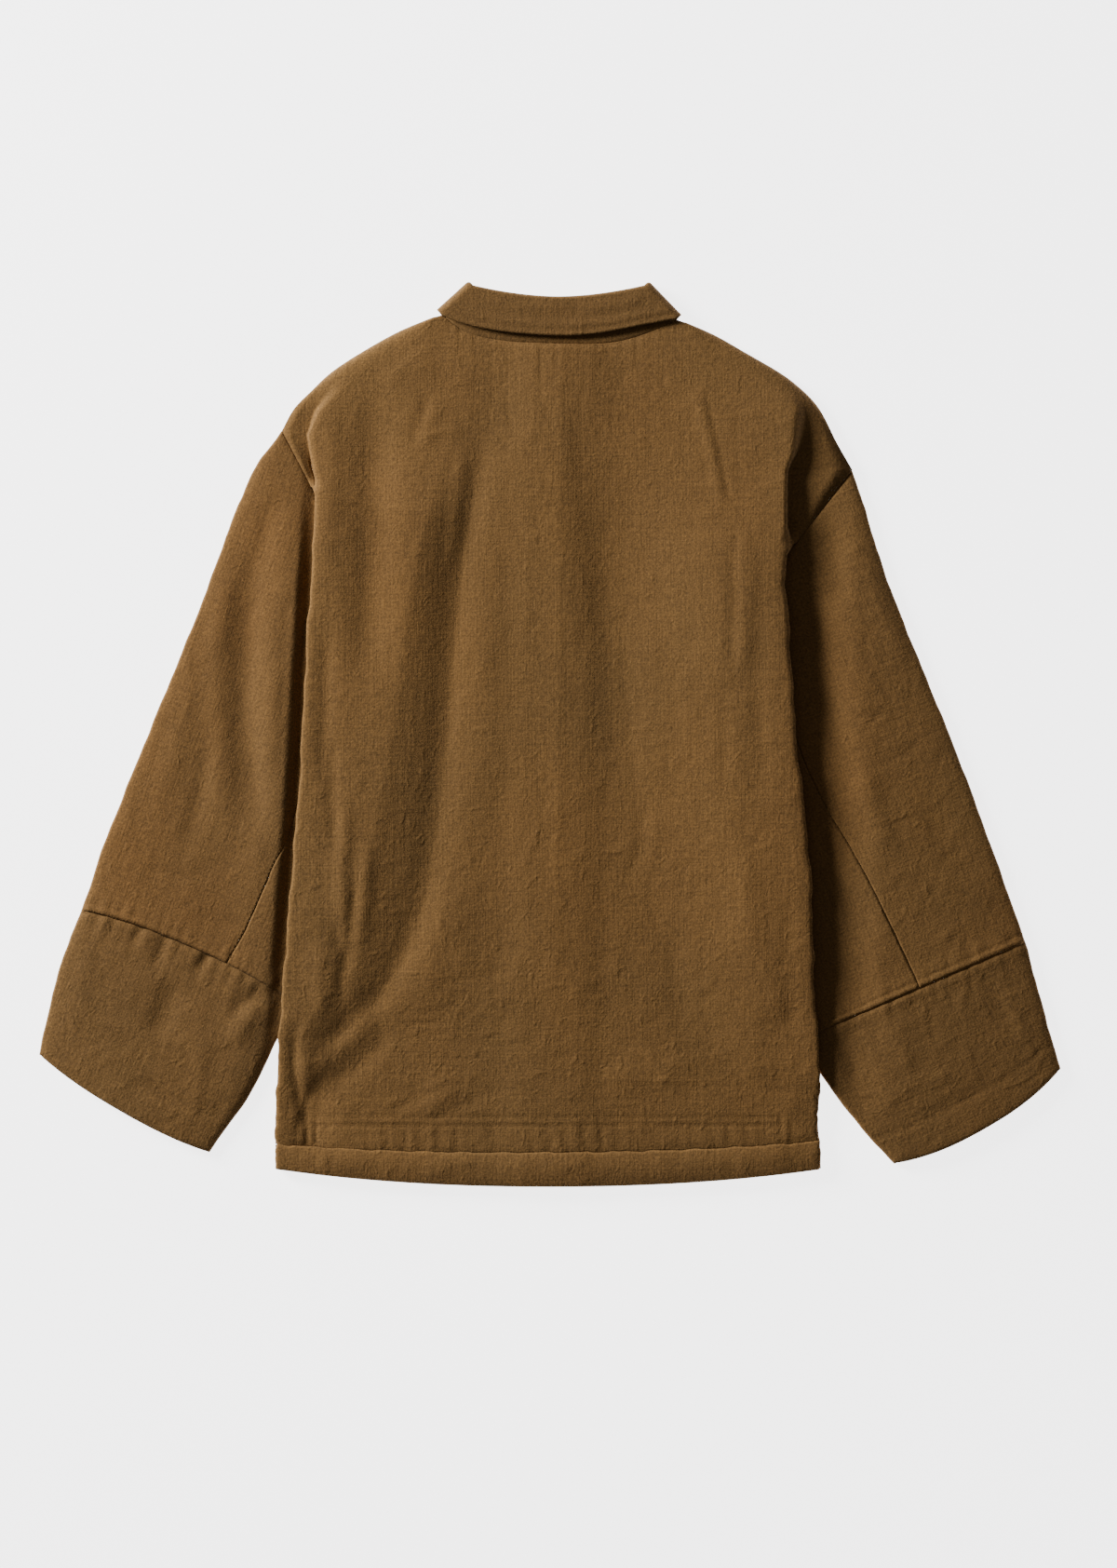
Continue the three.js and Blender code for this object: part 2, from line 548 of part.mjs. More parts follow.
function makeFronts() {
  const fronts = [['left', LEFT_FRONT, -1], ['right', RIGHT_FRONT, 1]];
  const keys = [
    ...steps(0, 1, 3), ...steps(1, 2, 2).slice(1), ...steps(2, 3, 3).slice(1),
    3.15, 3.3, 3.42, 3.54, 3.66, 3.76, 3.84, 3.9, 3.95, 4,
  ];
  for (const [name, table, sign] of fronts) {
    const rows = [1, ...steps(2, table.length - 1, table.length - 3)];
    const grid = rows.map((row) => keys.map((key) => frontPoint(table, sign, row, key)));
    for (const point of grid[0]) point.y += SEAM / 2;
    for (const point of grid[grid.length - 1]) point.y -= SEAM;
    const geometry = clothSolid(grid);
    addPiece(`front_${name}`, sign > 0 ? withButtonPockets(geometry) : geometry);

    const hem = steps(0, 1, 2).map((row) => keys.map((key) => frontPoint(table, sign, row, key)));
    for (const point of hem[hem.length - 1]) point.y -= SEAM / 2;
    addPiece(`hem_band_front_${name}`, clothSolid(hem));
  }
}

// A flattened sleeve tube: 0 to 1 across its back from the outer edge to the inner edge, then
// 1 to 2 round the inner fold, 2 to 3 back across its front, and 3 to 4 round the outer fold.
function sleevePoint(table, sign, rowAt, turn) {
  const row = readRow(table, rowAt);
  const outer = new THREE.Vector2(row.outerX, row.outerY);
  const inner = new THREE.Vector2(row.innerX, row.innerY);
  const direction = inner.clone().sub(outer).normalize();
  const inset = TURN + HALF;
  const start = outer.clone().addScaledVector(direction, inset);
  const end = inner.clone().addScaledVector(direction, -inset);
  const middle = (FLOOR_LAYER + SECOND_LAYER) / 2;
  let flat;
  let z;
  if (turn < 1) {
    flat = start.lerp(end, turn);
    z = SECOND_LAYER + sleeveLoft(flat.x, flat.y, sign, rowAt, turn);
  } else if (turn < 2) {
    const angle = (turn - 1) * Math.PI;
    flat = end.addScaledVector(direction, TURN * Math.sin(angle));
    z = middle + TURN * Math.cos(angle);
  } else if (turn < 3) {
    flat = end.lerp(start, turn - 2);
    z = FLOOR_LAYER;
  } else {
    const angle = (turn - 3) * Math.PI;
    flat = start.addScaledVector(direction, -TURN * Math.sin(angle));
    z = middle - TURN * Math.cos(angle);
  }
  return new THREE.Vector3(flat.x, flat.y, z);
}

// How far the back of the sleeve stands off its front: nothing under the body or at the armhole
function sleeveLoft(x, y, sign, rowAt, across) {
  const side = sign < 0 ? LEFT_SIDE : RIGHT_SIDE;
  let row = ROW.hem;
  while (row < ROW.underarm && side[row + 1].edgeY < y) row++;
  const span = side[Math.min(row + 1, ROW.underarm)].edgeY - side[row].edgeY || 1;
  const bodyX = read(side, 'edgeX', row + clamp01((y - side[row].edgeY) / span));
  const free = smooth((sign * (x - bodyX) - 3) / COVER_RAMP);
  const crown = Math.sqrt(Math.max(0, 4 * across * (1 - across)));
  return SLEEVE_LOFT * free * crown * smooth(rowAt / 1.4);
}

function pucker(rowAt, across) {
  const fade = Math.exp(-((rowAt - CUFF_ROW) / 0.35)) * smooth(8 * across) * smooth(8 * (1 - across));
  return PUCKER_HEIGHT * fade * (0.5 - 0.5 * Math.cos(2 * Math.PI * PUCKERS * across));
}

function makeSleeve(name, table, sign) {
  const rows = steps(0, CUFF_ROW, 12);
  const seamOff = new THREE.Vector2(
    table[0].innerY - table[0].outerY, table[0].outerX - table[0].innerX,
  ).normalize().multiplyScalar(sign * SEAM / 2);
  const grid = (turnsAt) => rows.map((row) => {
    const turns = turnsAt(read(table, 'seamAt', row));
    return turns.map((turn) => {
      const point = sleevePoint(table, sign, row, turn);
      if (row === 0) {
        const share = turn >= 3 ? 3 : 1;
        point.add(new THREE.Vector3(-seamOff.x * share, -seamOff.y * share, 0));
      }
      if (row === CUFF_ROW) point.y += SEAM / 2;
      return point;
    });
  });
  const gap = 0.0012; // share of the width left open at the lengthwise seams
  const upper = (at) => [
    ...steps(3 - at + gap, 3, 4), ...steps(3, 4, 4).slice(1), ...steps(0, at - gap, 8).slice(1),
  ];
  const under = (at) => [
    ...steps(at + gap, 1, 4), ...steps(1, 2, 4).slice(1), ...steps(2, 3 - at - gap, 3).slice(1),
  ];
  addPiece(`sleeve_${name}_upper`, clothSolid(grid(upper)));
  addPiece(`sleeve_${name}_under`, clothSolid(grid(under)));
}

function makeCuff(name, table, sign) {
  const rows = [CUFF_ROW, 10.25, 10.8, 11.8, OPENING_ROW];
  const turns = [
    ...steps(0, 1, 4 * PUCKERS), ...steps(1, 2, 4).slice(1),
    ...steps(2, 3, 6).slice(1), ...steps(3, 4, 4).slice(1, -1),
  ];
  const grid = rows.map((row) => turns.map((turn) => {
    const point = sleevePoint(table, sign, row, turn);
    if (row === CUFF_ROW) point.y -= SEAM / 2;
    if (turn < 1) point.z += pucker(row, turn);
    return point;
  }));
  addPiece(`cuff_${name}`, clothSolid(grid, true));
}

// Lines of the collar, seen from above. On the back, part 0 to 1 runs from left to right; on
// the front it runs from the side of the neck to the centre.
function sagging(left, right, sag, squareLeft, squareRight, part) {
  const square = mix(squareLeft, squareRight, part);
  const drop = sag * (1 - Math.abs(2 * part - 1) ** square);
  return new THREE.Vector2(mix(left[0], right[0], part), mix(left[1], right[1], part) - drop);
}

function rollLine(place) {
  const { leftRoll, rightRoll, rollSag, rollSquare, frontRollStraight, frontRollY } = COLLAR;
  if (place.zone === 'back') {
    return sagging(leftRoll, rightRoll, rollSag, rollSquare, rollSquare, place.part);
  }
  const start = place.sign < 0 ? leftRoll : rightRoll;
  const bend = mix(1 - (1 - place.part) ** 2, place.part, frontRollStraight);
  const endX = centreX(frontRollY) + place.sign * COLLAR.frontRollX;
  return new THREE.Vector2(mix(start[0], endX, place.part), mix(start[1], frontRollY, bend));
}

function leafEdge(place) {
  const { leftEdge, rightEdge, leafSag, leafSquareLeft, leafSquareRight, pointY } = COLLAR;
  if (place.zone === 'back') {
    return sagging(leftEdge, rightEdge, leafSag, leafSquareLeft, leafSquareRight, place.part);
  }
  const start = place.sign < 0 ? leftEdge : rightEdge;
  const endX = centreX(pointY) + place.sign * COLLAR.pointX;
  const bow = place.sign * COLLAR.leafBow * Math.sin(Math.PI * place.part);
  return new THREE.Vector2(mix(start[0], endX, place.part) + bow, mix(start[1], pointY, place.part));
}

// A front's neck edge, as the front has it
function frontNeckY(sign, x) {
  const side = (sign < 0 ? LEFT_SIDE : RIGHT_SIDE)[ROW.neck];
  const lapX = centreX(CENTRE.neckY) - sign * LAP;
  const across = clamp01((x - side.edgeX) / (lapX - side.edgeX));
  return mix(side.edgeY, CENTRE.neckY, 1 - (1 - across) ** 2);
}

// The stand's lower edge, which follows the neck edges of the back and the fronts
function standFoot(place) {
  const inset = HALF + TURN;
  const left = LEFT_SIDE[ROW.neck].edgeX + inset;
  const right = RIGHT_SIDE[ROW.neck].edgeX - inset;
  if (place.zone === 'back') {
    const x = mix(left, right, place.part);
    return new THREE.Vector3(x, backRowY(ROW.neck, x) + SEAM / 2, COLLAR.middle + TURN);
  }
  const side = place.sign < 0 ? left : right;
  if (place.zone === 'turn') {
    const x = side + place.sign * TURN * Math.cos(place.tilt);
    const back = 0.5 + 0.5 * Math.sin(place.tilt);
    const y = mix(frontNeckY(place.sign, x), backRowY(ROW.neck, x), back) + 2 * ROLLED_SEAM;
    return new THREE.Vector3(x, y, COLLAR.middle + TURN * Math.sin(place.tilt));
  }
  const x = mix(side, centreX(CENTRE.neckY) + place.sign * COLLAR.standEndX, place.part);
  const y = frontNeckY(place.sign, x) + SEAM / 2;
  return new THREE.Vector3(x, y, FLOOR_LAYER + frontLift(x, y, place.sign, STAND_RISE_FROM));
}

// A place on one of the leaf's lines, a given distance from the collar's middle height and
// pushed past the line, away from the leaf's edge.
function collarPoint(line, place, layer, past) {
  const at = line(place);
  const up = rollLine(place).sub(leafEdge(place)).normalize();
  at.addScaledVector(up, past);
  if (place.zone !== 'turn') {
    const height = place.zone === 'back' ? layer : -layer;
    return new THREE.Vector3(at.x, at.y, COLLAR.middle + height);
  }
  const out = new THREE.Vector2(place.sign * up.y, -place.sign * up.x);
  at.addScaledVector(out, layer * Math.cos(place.tilt));
  return new THREE.Vector3(at.x, at.y, COLLAR.middle + layer * Math.sin(place.tilt));
}

// The collar runs round the neck: front left, left side turn, back, right side turn, front right
const QUARTER = Math.PI / 2;
const COLLAR_ROUND = [
  ...steps(1, 0, 6).map((part) => ({ zone: 'front', sign: -1, part })),
  ...steps(-QUARTER, QUARTER, 6).slice(1, -1).map((tilt) => ({ zone: 'turn', sign: -1, part: 0, tilt })),
  ...steps(0, 1, 14).map((part) => ({ zone: 'back', part })),
  ...steps(QUARTER, -QUARTER, 6).slice(1, -1).map((tilt) => ({ zone: 'turn', sign: 1, part: 0, tilt })),
  ...steps(0, 1, 6).map((part) => ({ zone: 'front', sign: 1, part })),
];

function makeCollar() {
  const standLayer = TURN;
  const leafLayer = 1.5 * LAYER;
  const inset = TURN + HALF;
  const stand = steps(0, 1, 3).map((share) => COLLAR_ROUND.map((place) => (
    standFoot(place).lerp(collarPoint(rollLine, place, standLayer, -inset - 1.5 * SEAM), share)
  )));
  addPiece('collar_stand', clothSolid(stand));

  const roll = steps(-QUARTER, QUARTER, 4).map((angle) => COLLAR_ROUND.map((place) => {
    const layer = mix(standLayer, leafLayer, 0.5 + 0.5 * Math.sin(angle));
    return collarPoint(rollLine, place, layer, TURN * Math.cos(angle) - inset);
  }));
  const leaf = steps(0, 1, 4).slice(1).map((share) => COLLAR_ROUND.map((place) => (
    collarPoint(rollLine, place, leafLayer, -inset)
      .lerp(collarPoint(leafEdge, place, leafLayer, 0), share)
  )));
  addPiece('collar_leaf', clothSolid([...roll, ...leaf]));
}

// Solid and geometry conversions for the booleans
function toSolid(geometry) {
  const vertProperties = new Float32Array(geometry.getAttribute('position').array);
  const triVerts = new Uint32Array(geometry.getIndex().array);
  return new wasm.Manifold(new wasm.Mesh({ numProp: 3, vertProperties, triVerts }));
}

function toGeometry(solid) {
  const mesh = solid.getMesh();
  const geometry = new THREE.BufferGeometry();
  geometry.setAttribute('position', new THREE.BufferAttribute(mesh.vertProperties, 3));
  geometry.setIndex(new THREE.BufferAttribute(mesh.triVerts, 1));
  return geometry;
}

function buttonPlaces() {
  return steps(0, BUTTON.count - 1, BUTTON.count - 1).map((i) => {
    const y = BUTTON.topY - i * BUTTON.pitch;
    return { x: centreX(y), y };
  });
}

// A closed disc between two heights, wider at its foot than at its top
function disc(x, y, low, high, footRadius, topRadius, sides) {
  const profile = [
    new THREE.Vector2(0, low), new THREE.Vector2(footRadius, low),
    new THREE.Vector2(topRadius, high), new THREE.Vector2(0, high),
  ];
  const positions = [x, y, low];
  for (const point of profile.slice(1, 3)) {
    for (let i = 0; i < sides; i++) {
      const angle = (2 * Math.PI * i) / sides;
      positions.push(x + point.x * Math.cos(angle), y + point.x * Math.sin(angle), point.y);
    }
  }
  positions.push(x, y, high);
  const faces = [];
  const last = 2 * sides + 1;
  for (let i = 0; i < sides; i++) {
    const [a, b] = [1 + i, 1 + ((i + 1) % sides)];
    faces.push(0, b, a, a, b, b + sides, a, b + sides, a + sides, a + sides, b + sides, last);
  }
  const geometry = new THREE.BufferGeometry();
  geometry.setAttribute('position', new THREE.Float32BufferAttribute(positions, 3));
  geometry.setIndex(outward(positions, faces));
  return geometry;
}

// The buttons press into the outer front, so that its face stays flat: a shallow pocket holds
// each one, under a low swelling of the cloth.
function withButtonPockets(geometry) {
  let front = toSolid(geometry);
  for (const { x, y } of buttonPlaces()) {
    const { coverRadius, coverTop, ceiling, clearance, foot, sides } = POCKET;
    front = front.add(toSolid(disc(x, y, HALF, coverTop, coverRadius + foot, coverRadius, sides)));
    const radius = BUTTON.radius + clearance;
    front = front.subtract(toSolid(disc(x, y, -1, ceiling, radius, radius, sides)));
  }
  return toGeometry(front);
}

function makeButtons() {
  const outline = new THREE.Shape();
  outline.absarc(0, 0, BUTTON.radius, 0, 2 * Math.PI);
  for (const [sx, sy] of [[1, 1], [-1, 1], [-1, -1], [1, -1]]) {
    const hole = new THREE.Path();
    hole.absarc(sx * BUTTON.spread, sy * BUTTON.spread, BUTTON.hole, 0, 2 * Math.PI, true);
    outline.holes.push(hole);
  }
  buttonPlaces().forEach(({ x, y }, i) => {
    const geometry = new THREE.ExtrudeGeometry(outline, {
      depth: BUTTON.thickness, bevelEnabled: false, curveSegments: 4, steps: 1,
    });
    geometry.translate(x, y, 0);
    addPiece(`button_${i + 1}`, geometry, HORN);
  });
}

makeBack();
makeFronts();
makeSleeve('left', LEFT_SLEEVE, -1);
makeSleeve('right', RIGHT_SLEEVE, 1);
makeCuff('left', LEFT_SLEEVE, -1);
makeCuff('right', RIGHT_SLEEVE, 1);
makeCollar();
makeButtons();
jacket.position.set(ORIGIN_SHIFT.x, ORIGIN_SHIFT.y, 0);

export default jacket;
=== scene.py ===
"""The looks of a linen work jacket that lies flat with its back up.

Tables and lengths in this file are in millimetres in the jacket's own frame: x to the
picture's right, y towards the collar, z up from the surface it lies on.
"""

import json
import math
import random

import bpy
import numpy as np
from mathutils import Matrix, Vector
from mathutils.bvhtree import BVHTree

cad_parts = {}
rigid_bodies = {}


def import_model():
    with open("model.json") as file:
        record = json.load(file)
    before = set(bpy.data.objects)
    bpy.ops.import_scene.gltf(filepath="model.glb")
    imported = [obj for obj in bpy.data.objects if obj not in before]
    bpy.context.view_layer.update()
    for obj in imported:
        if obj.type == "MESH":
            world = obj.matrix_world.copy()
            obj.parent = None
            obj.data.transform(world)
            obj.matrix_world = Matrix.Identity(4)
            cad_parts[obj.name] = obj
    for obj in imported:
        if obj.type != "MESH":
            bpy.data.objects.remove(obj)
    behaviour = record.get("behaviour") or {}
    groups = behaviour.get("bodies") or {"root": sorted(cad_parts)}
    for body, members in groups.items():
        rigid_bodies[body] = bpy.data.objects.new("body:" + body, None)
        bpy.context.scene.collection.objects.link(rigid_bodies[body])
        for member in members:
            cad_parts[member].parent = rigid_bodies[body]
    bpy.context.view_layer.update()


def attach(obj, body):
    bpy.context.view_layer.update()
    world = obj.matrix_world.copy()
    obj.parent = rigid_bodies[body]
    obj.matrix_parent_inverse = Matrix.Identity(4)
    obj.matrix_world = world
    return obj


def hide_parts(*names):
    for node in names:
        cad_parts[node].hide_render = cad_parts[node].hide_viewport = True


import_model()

# Cloth
CLOTH = 2.4
HALF = CLOTH / 2
LAYER = 3.0
TURN = LAYER / 2
INSET = TURN + HALF  # from a fold's outer edge to where its wall is flat
SEAM = -0.3  # below zero, since sewn edges pass into each other and let no light through
ROLLED_SEAM = 1.0
ROLL_RADIUS = 1.5
FLOOR_LAYER = HALF
SECOND_LAYER = FLOOR_LAYER + LAYER
SHIFT = (0.014, 0.237)  # from the tables' origin to the jacket's
MM = 0.001

# Body, one row per section from hem to neck
ROW_HEM_SEAM, ROW_UNDER_FROM, ROW_UNDERARM, ROW_SHOULDER, ROW_NECK = 1, 10.4, 13, 16, 23
BODY_CORNERS = (ROW_UNDERARM, ROW_SHOULDER)
LAST_KEY = 8
MID_Z = 7.2
WING_MARGIN, WING_STEP = 1.5, 1.8
LAP_CENTRE = ((-0.7, -363), (8, 250))
LAP_HALF, BACK_OVER_LAP = 15, 1.0
HEM_STITCH_X = (-208, 209)
HEM_STITCH_Y = (-308.6, -315.0)
BACK_CREASES = (-215, 215, -325, 300)
LOWER_CREASES = (-60, 215, -325, 20)
LEFT_CREASES = (-215, -60, -325, -120)
HEM_CREASES = (-215, 215, -362, -332)

# Sleeves, one row per section from armhole to opening
ROW_CUFF = 10
SLEEVE_LOFT = 2.8
STITCH_OFF = 4.5
SLEEVE_BOX = {-1: (-380, -150, -220, 240), 1: (150, 385, -250, 210)}
CUFF_BOX = {-1: (-400, -220, -335, -140), 1: (200, 410, -345, -165)}
CUFF_BOW = {-1: (-8.5, 7), 1: (0, 12)}  # of its seam and its opening, on the way to the hand
CUFF_GATHER = {-1: 1.8, 1: 1.2}

# Stitches
STITCH, STITCH_PITCH, STITCH_HALF, STITCH_UP = 2.6, 3.6, 0.28, 0.16
TWIN_GAP = 6.4
TACK_X, TACK_Y, TACK_HALF, TACK_PITCH = (-5.6, 33.4), 312.4, 3, 3.0

# Collar, with -1 for the left side and 1 for the right one
NECK_CENTRE = LAP_CENTRE[1]
COLLAR_EDGE = {-1: (-87.1, 337.2), 1: (102.0, 333.4)}
COLLAR_ROLL = {-1: (-61.3, 360.6), 1: (75.7, 360.6)}
COLLAR_MIDDLE = FLOOR_LAYER + 1.5 * LAYER
COLLAR_CREASES = (-80, 95, 300, 360)
EDGE_SAG, ROLL_SAG = 15, 8.6
ROLL_END_Y, ROLL_END_OFF = 281, 14
POINT_Y, POINT_OFF = 228, 58
LEAF_WIDTH, LEAF_STITCH_OFF = 26, 4.2
LEAF_STITCH_X = (-80, 95)
STAND_UNDER = 1.2  # how far the stand reaches under the back

# Looks
LINEN_BROWN = (0.150, 0.079, 0.023)
LINEN_WARM = (0.172, 0.082, 0.021)
THREAD_BROWN = (0.185, 0.1, 0.031)
HORN_BROWN = (0.042, 0.022, 0.010)
RIDGED = "RIDGED_MULTIFRACTAL"
VIEW_CENTRE, CAMERA_HEIGHT = (0.0071, -0.0401), 6
FLOOR_HALF = 9


def table(names, text):
    """Columns by name from rows of numbers."""
    rows = [[float(value) for value in line.split()] for line in text.strip().splitlines()]
    return dict(zip(names.split(), np.array(rows).T))


LEFT_SIDE = table("edge_x edge_y fold_x top_x foot_x side_z", """
-220 -350 -211 -200.5 -184 6.6
-221 -330.5 -212 -201.5 -184 6.6
-221 -310 -212 -202 -184 7.4
-219.5 -282.5 -210.5 -202 -182 8.6
-218 -247 -209 -200 -172 11.8
-215.5 -211 -206 -182 -137 12.2
-212.5 -173.5 -203 -168 -116 12.4
-209 -128.5 -198.5 -153 -100 12.6
-204.5 -76 -194 -141 -91 12.8
-200 -16 -189.5 -131 -84 12.8
-197 51.5 -185.5 -121 -79 12.8
-193 111.5 -182 -113 -74 12.8
-190 156.5 -180.5 -105 -70 12.8
-188.5 192.4 -179 -98 -65 12.6
-197.5 209.6 -187 -94 -62 10.8
-206.5 226.8 -190.5 -89 -58 9.4
-215.5 244 -193 -84 -55 8.6
-206 261.5 -185 -78 -51 8.3
-191.5 276.5 -170 -73 -47 8.2
-175 291.5 -155 -70 -45 8.1
-152.5 306.5 -133 -68 -44 8.2
-120.5 324.5 -105 -66 -44 7.6
-98 334 -93 -64 -44 7.3
-87.5 338.5 -83.5 -62 -44 7.2
""")
RIGHT_SIDE = table("edge_x edge_y fold_x top_x foot_x side_z", """
218.5 -350 209.5 198.5 185.5 6.6
217 -328 208 197 183.5 6.6
215.5 -307 206.5 196 180 7.4
217.5 -290 208.5 198 165 8.6
217.5 -270 209 196 140 11.6
213.5 -215 203.5 182 112 12
212 -177.5 202 168 95 12.2
211 -132.5 201.5 157 82 12.4
207.5 -83.5 197.5 146 73 12.4
200.5 -23.5 191 140 66 12.4
195.5 36.5 185.5 138 62 12.4
192.5 89 182.5 138 60 12.4
189.5 122.5 180.5 138 59 12.4
191 144.2 181 138 58 12.2
209.5 168.3 189.5 138 58 11.8
227 191 189.5 138 58 11.2
243.5 212.5 190 138 58 10.4
232 233 194.5 136 58 9.8
217 261.5 196 133 58 9.2
194.5 284 174 127 58 8.6
158 306.5 140 112 60 8
131.5 321.5 115 97 62 7.6
114 329 109 89 62 7.3
104 333.5 100 83.5 62 7.2
""")
SIDES = {-1: LEFT_SIDE, 1: RIGHT_SIDE}
SHARED = table("seam_z sag square skew", """
2.7 14 2.2 0
2.7 8 2.4 0
2.7 2 2 0
2.7 0 2 0
8.7 0 2 0
8.7 0 2 0
8.7 0 2 0
8.7 0 2 0
8.7 0 2 0
8.7 1 2 0
8.7 2 2 0
8.7 3 2 0
8.7 4.5 2 0
8.7 7 2 0
2.7 9 2 0
2.7 10.5 2 0
2.7 12 2 0
2.7 13.5 2.1 0
2.7 15 2.2 0
2.7 17 2.4 0
2.7 19 2.8 0.1
2.7 21 3.1 0.2
5.7 22 3.3 0.3
5.7 22.5 3.4 0.35
""")
LEFT_SLEEVE = table("outer_x outer_y inner_x inner_y seam_at", """
-215.5 244 -154 126.5 0.74
-236 216.5 -145 90.5 0.73
-250 186.5 -140.5 55 0.72
-263 152.5 -139 17.5 0.71
-278 111.5 -140 -20 0.7
-293.5 72.5 -143.5 -53.5 0.69
-310 32.5 -149.5 -87.5 0.69
-327.5 -10 -158 -117.5 0.69
-344.5 -52 -170 -147.5 0.68
-360.5 -92.5 -184 -179 0.68
-377 -141.5 -204.5 -217 0.67
-390.5 -175 -218 -243.5 0.67
-401.5 -213.5 -240.5 -288.5 0.67
-411 -257.5 -274 -336.5 0.67
""")
RIGHT_SLEEVE = table("outer_x outer_y inner_x inner_y seam_at", """
243.5 212.5 157 100 0.7
253 184 146.5 57.5 0.68
262 154 141.5 17.5 0.66
272.5 122.5 140 -20 0.64
285.5 89 142 -55 0.62
299.5 54.5 147.5 -89 0.6
315.5 15.5 155 -121 0.57
331 -23.5 164.5 -153.5 0.53
347 -66.5 175 -185 0.5
364 -113.5 187 -216.5 0.48
383 -167.5 200.5 -246.5 0.465
392 -200.5 221.5 -278.5 0.465
401.5 -235 248 -314 0.465
411 -269 277 -345.5 0.465
""")

# How a soft fold runs: three points, its half widths on the left and right of that way, and
# its height, which is below zero for a trough
FOLD_COLUMNS = "x1 y1 x2 y2 x3 y3 left right height"
BACK_FOLDS = table(FOLD_COLUMNS, """
-112 -235 -88 -175 -72 -110 20 26 1.3
-141 291 -142 160 -147 20 17 17 -2.9
60 240 66 100 72 -90 32 32 -1.6
-142.9 -214.9 -157.9 -242.6 -199 -282 9 10 1.7
-129.4 -222.4 -136.9 -252.4 -180.4 -289.9 7 10 -1
-139 -303 -101.6 -286 -52.9 -269.5 3.5 4 1.4
-190 -272 -191 -320 -189 -352 13 15 -2.4
182 -212 186 -250 188 -296 24 14 -1.5
-176 280 -178 190 -180 110 9 12 0.8
-95.2 275.6 -104 250.1 -111.6 226.1 3 5 -1.5
-88.9 273.4 -97.1 247.9 -103.9 223.9 7 7 0.8
-178.9 96.4 -180.4 21.4 -184.1 -53.6 7 7 -1.6
-172.1 6.4 -175.9 -53.6 -168.4 -106.1 6 6 -1.7
-163.9 -46.1 -166.9 -106.1 -163.9 -166.1 6 7 1.9
-154.9 -113.6 -160.9 -166.1 -163.9 -203.6 5 6 -1.9
-146.6 -83.6 -148.9 -128.6 -154.1 -173.6 6 6 1.6
23.6 291.4 37.1 141.4 47.6 48.4 16 14 -1.1
77.6 111.4 79.9 21.4 74.6 -61.1 20 20 1
123.2 285.4 135.8 232.9 147.4 171.4 2.5 3 -1.6
116.6 283.9 129.4 231.4 140.6 171.4 8 5 1
147.4 171.4 148.9 111.4 146.6 40.1 4 5 -0.9
153.4 280.1 150.4 238.9 152.6 201.4 3 3 -0.5
157.1 171.4 158.6 111.4 157.1 36.4 9 9 0.9
138.4 48.4 140.6 -29.6 142.9 -68.6 5 5 -0.9
166.1 141.4 167.6 21.4 173.6 -83.6 9 9 -0.6
-90.4 -265.9 -52.9 -259.1 -18.4 -246.4 1.8 2.2 -0.7
-112.9 -315.4 -75.4 -302.6 -28.1 -279.4 2 2.5 -0.8
-129.4 -307.9 -112.9 -295.1 -96.4 -281.6 7 5 -1.4
-103.9 -305.6 -87.4 -293.6 -67.9 -283.1 7 7 1.1
-202.9 -222.4 -205.9 -267.4 -197.6 -313.9 5 5 -2.2
-190.1 -278.6 -195.4 -301.1 -202.9 -322.9 4 4 -2
-194.6 -248.6 -196.9 -278.6 -189.4 -308.6 6 6 1.6
-176.6 -139.9 -166.9 -181.1 -168.4 -226.1 5 6 -1.9
-184.1 -166.1 -186.4 -203.6 -180.4 -233.6 6 6 1.4
67.9 -205.9 112.1 -205.9 157.1 -204.4 1.6 1.8 0.6
157.1 -204.4 187.1 -208.1 215.6 -212.6 1.6 1.8 -0.5
82.1 -247.9 140.6 -246.4 215.6 -247.9 1.6 1.8 0.6
11.6 -280.1 75.4 -278.6 143.6 -280.1 2 2 0.6
44.6 -247.1 82.9 -237.4 113.6 -223.9 2 2.4 0.7
-0.4 -243.4 22.1 -239.6 48.4 -245.6 2 2 -0.5
37.1 -286.1 82.1 -271.1 127.1 -271.1 12 12 0.8
142.9 -50.6 160.9 -47.6 174.4 -29.6 2 2.5 -0.8
62.6 -128.6 72.4 -90.4 77.6 -52.1 4 5 -0.5
71.6 -132.4 82.1 -92.6 88.1 -58.1 6 6 0.35
48.4 -106.1 61.1 -97.1 74.6 -118.1 3 3 -0.7
-9.4 309.4 -7.1 291.4 -5.6 261.4 2 2.4 -0.6
-28.1 291.4 -37.9 280.9 -46.9 270.4 2.4 2.4 -0.6
-33.4 273.4 -32.6 257.6 -30.4 238.9 2.4 2.4 -0.6
-67.9 238.9 -73.9 186.4 -81.4 126.4 9 6 1
29.6 306.4 28.1 283.9 23.6 253.9 3 3 -0.5
37.1 238.9 46.1 247.9 56.6 256.1 2 2 -0.5
87.4 163.9 119.6 174.4 142.1 180.4 1.8 2 0.5
-90.4 306.4 -112.9 294.4 -131.6 276.4 14 12 0.8
-52.9 126.4 -45.4 21.4 -52.9 -83.6 22 22 0.9
-22.9 -143.6 7.1 -188.6 44.6 -214.9 14 14 0.8
-82.9 -166.1 -52.9 -203.6 -22.9 -226.1 12 12 0.7
-101.6 -209.6 -67.9 -196.1 -22.9 -188.6 4 5 -0.6
157.1 -83.6 161.6 -143.6 157.1 -196.1 12 12 0.7
194.6 -121.1 191.6 -188.6 196.1 -256.1 7 7 -0.8
104.6 -143.6 101.6 -196.1 106.9 -256.1 6 7 -0.7
""")
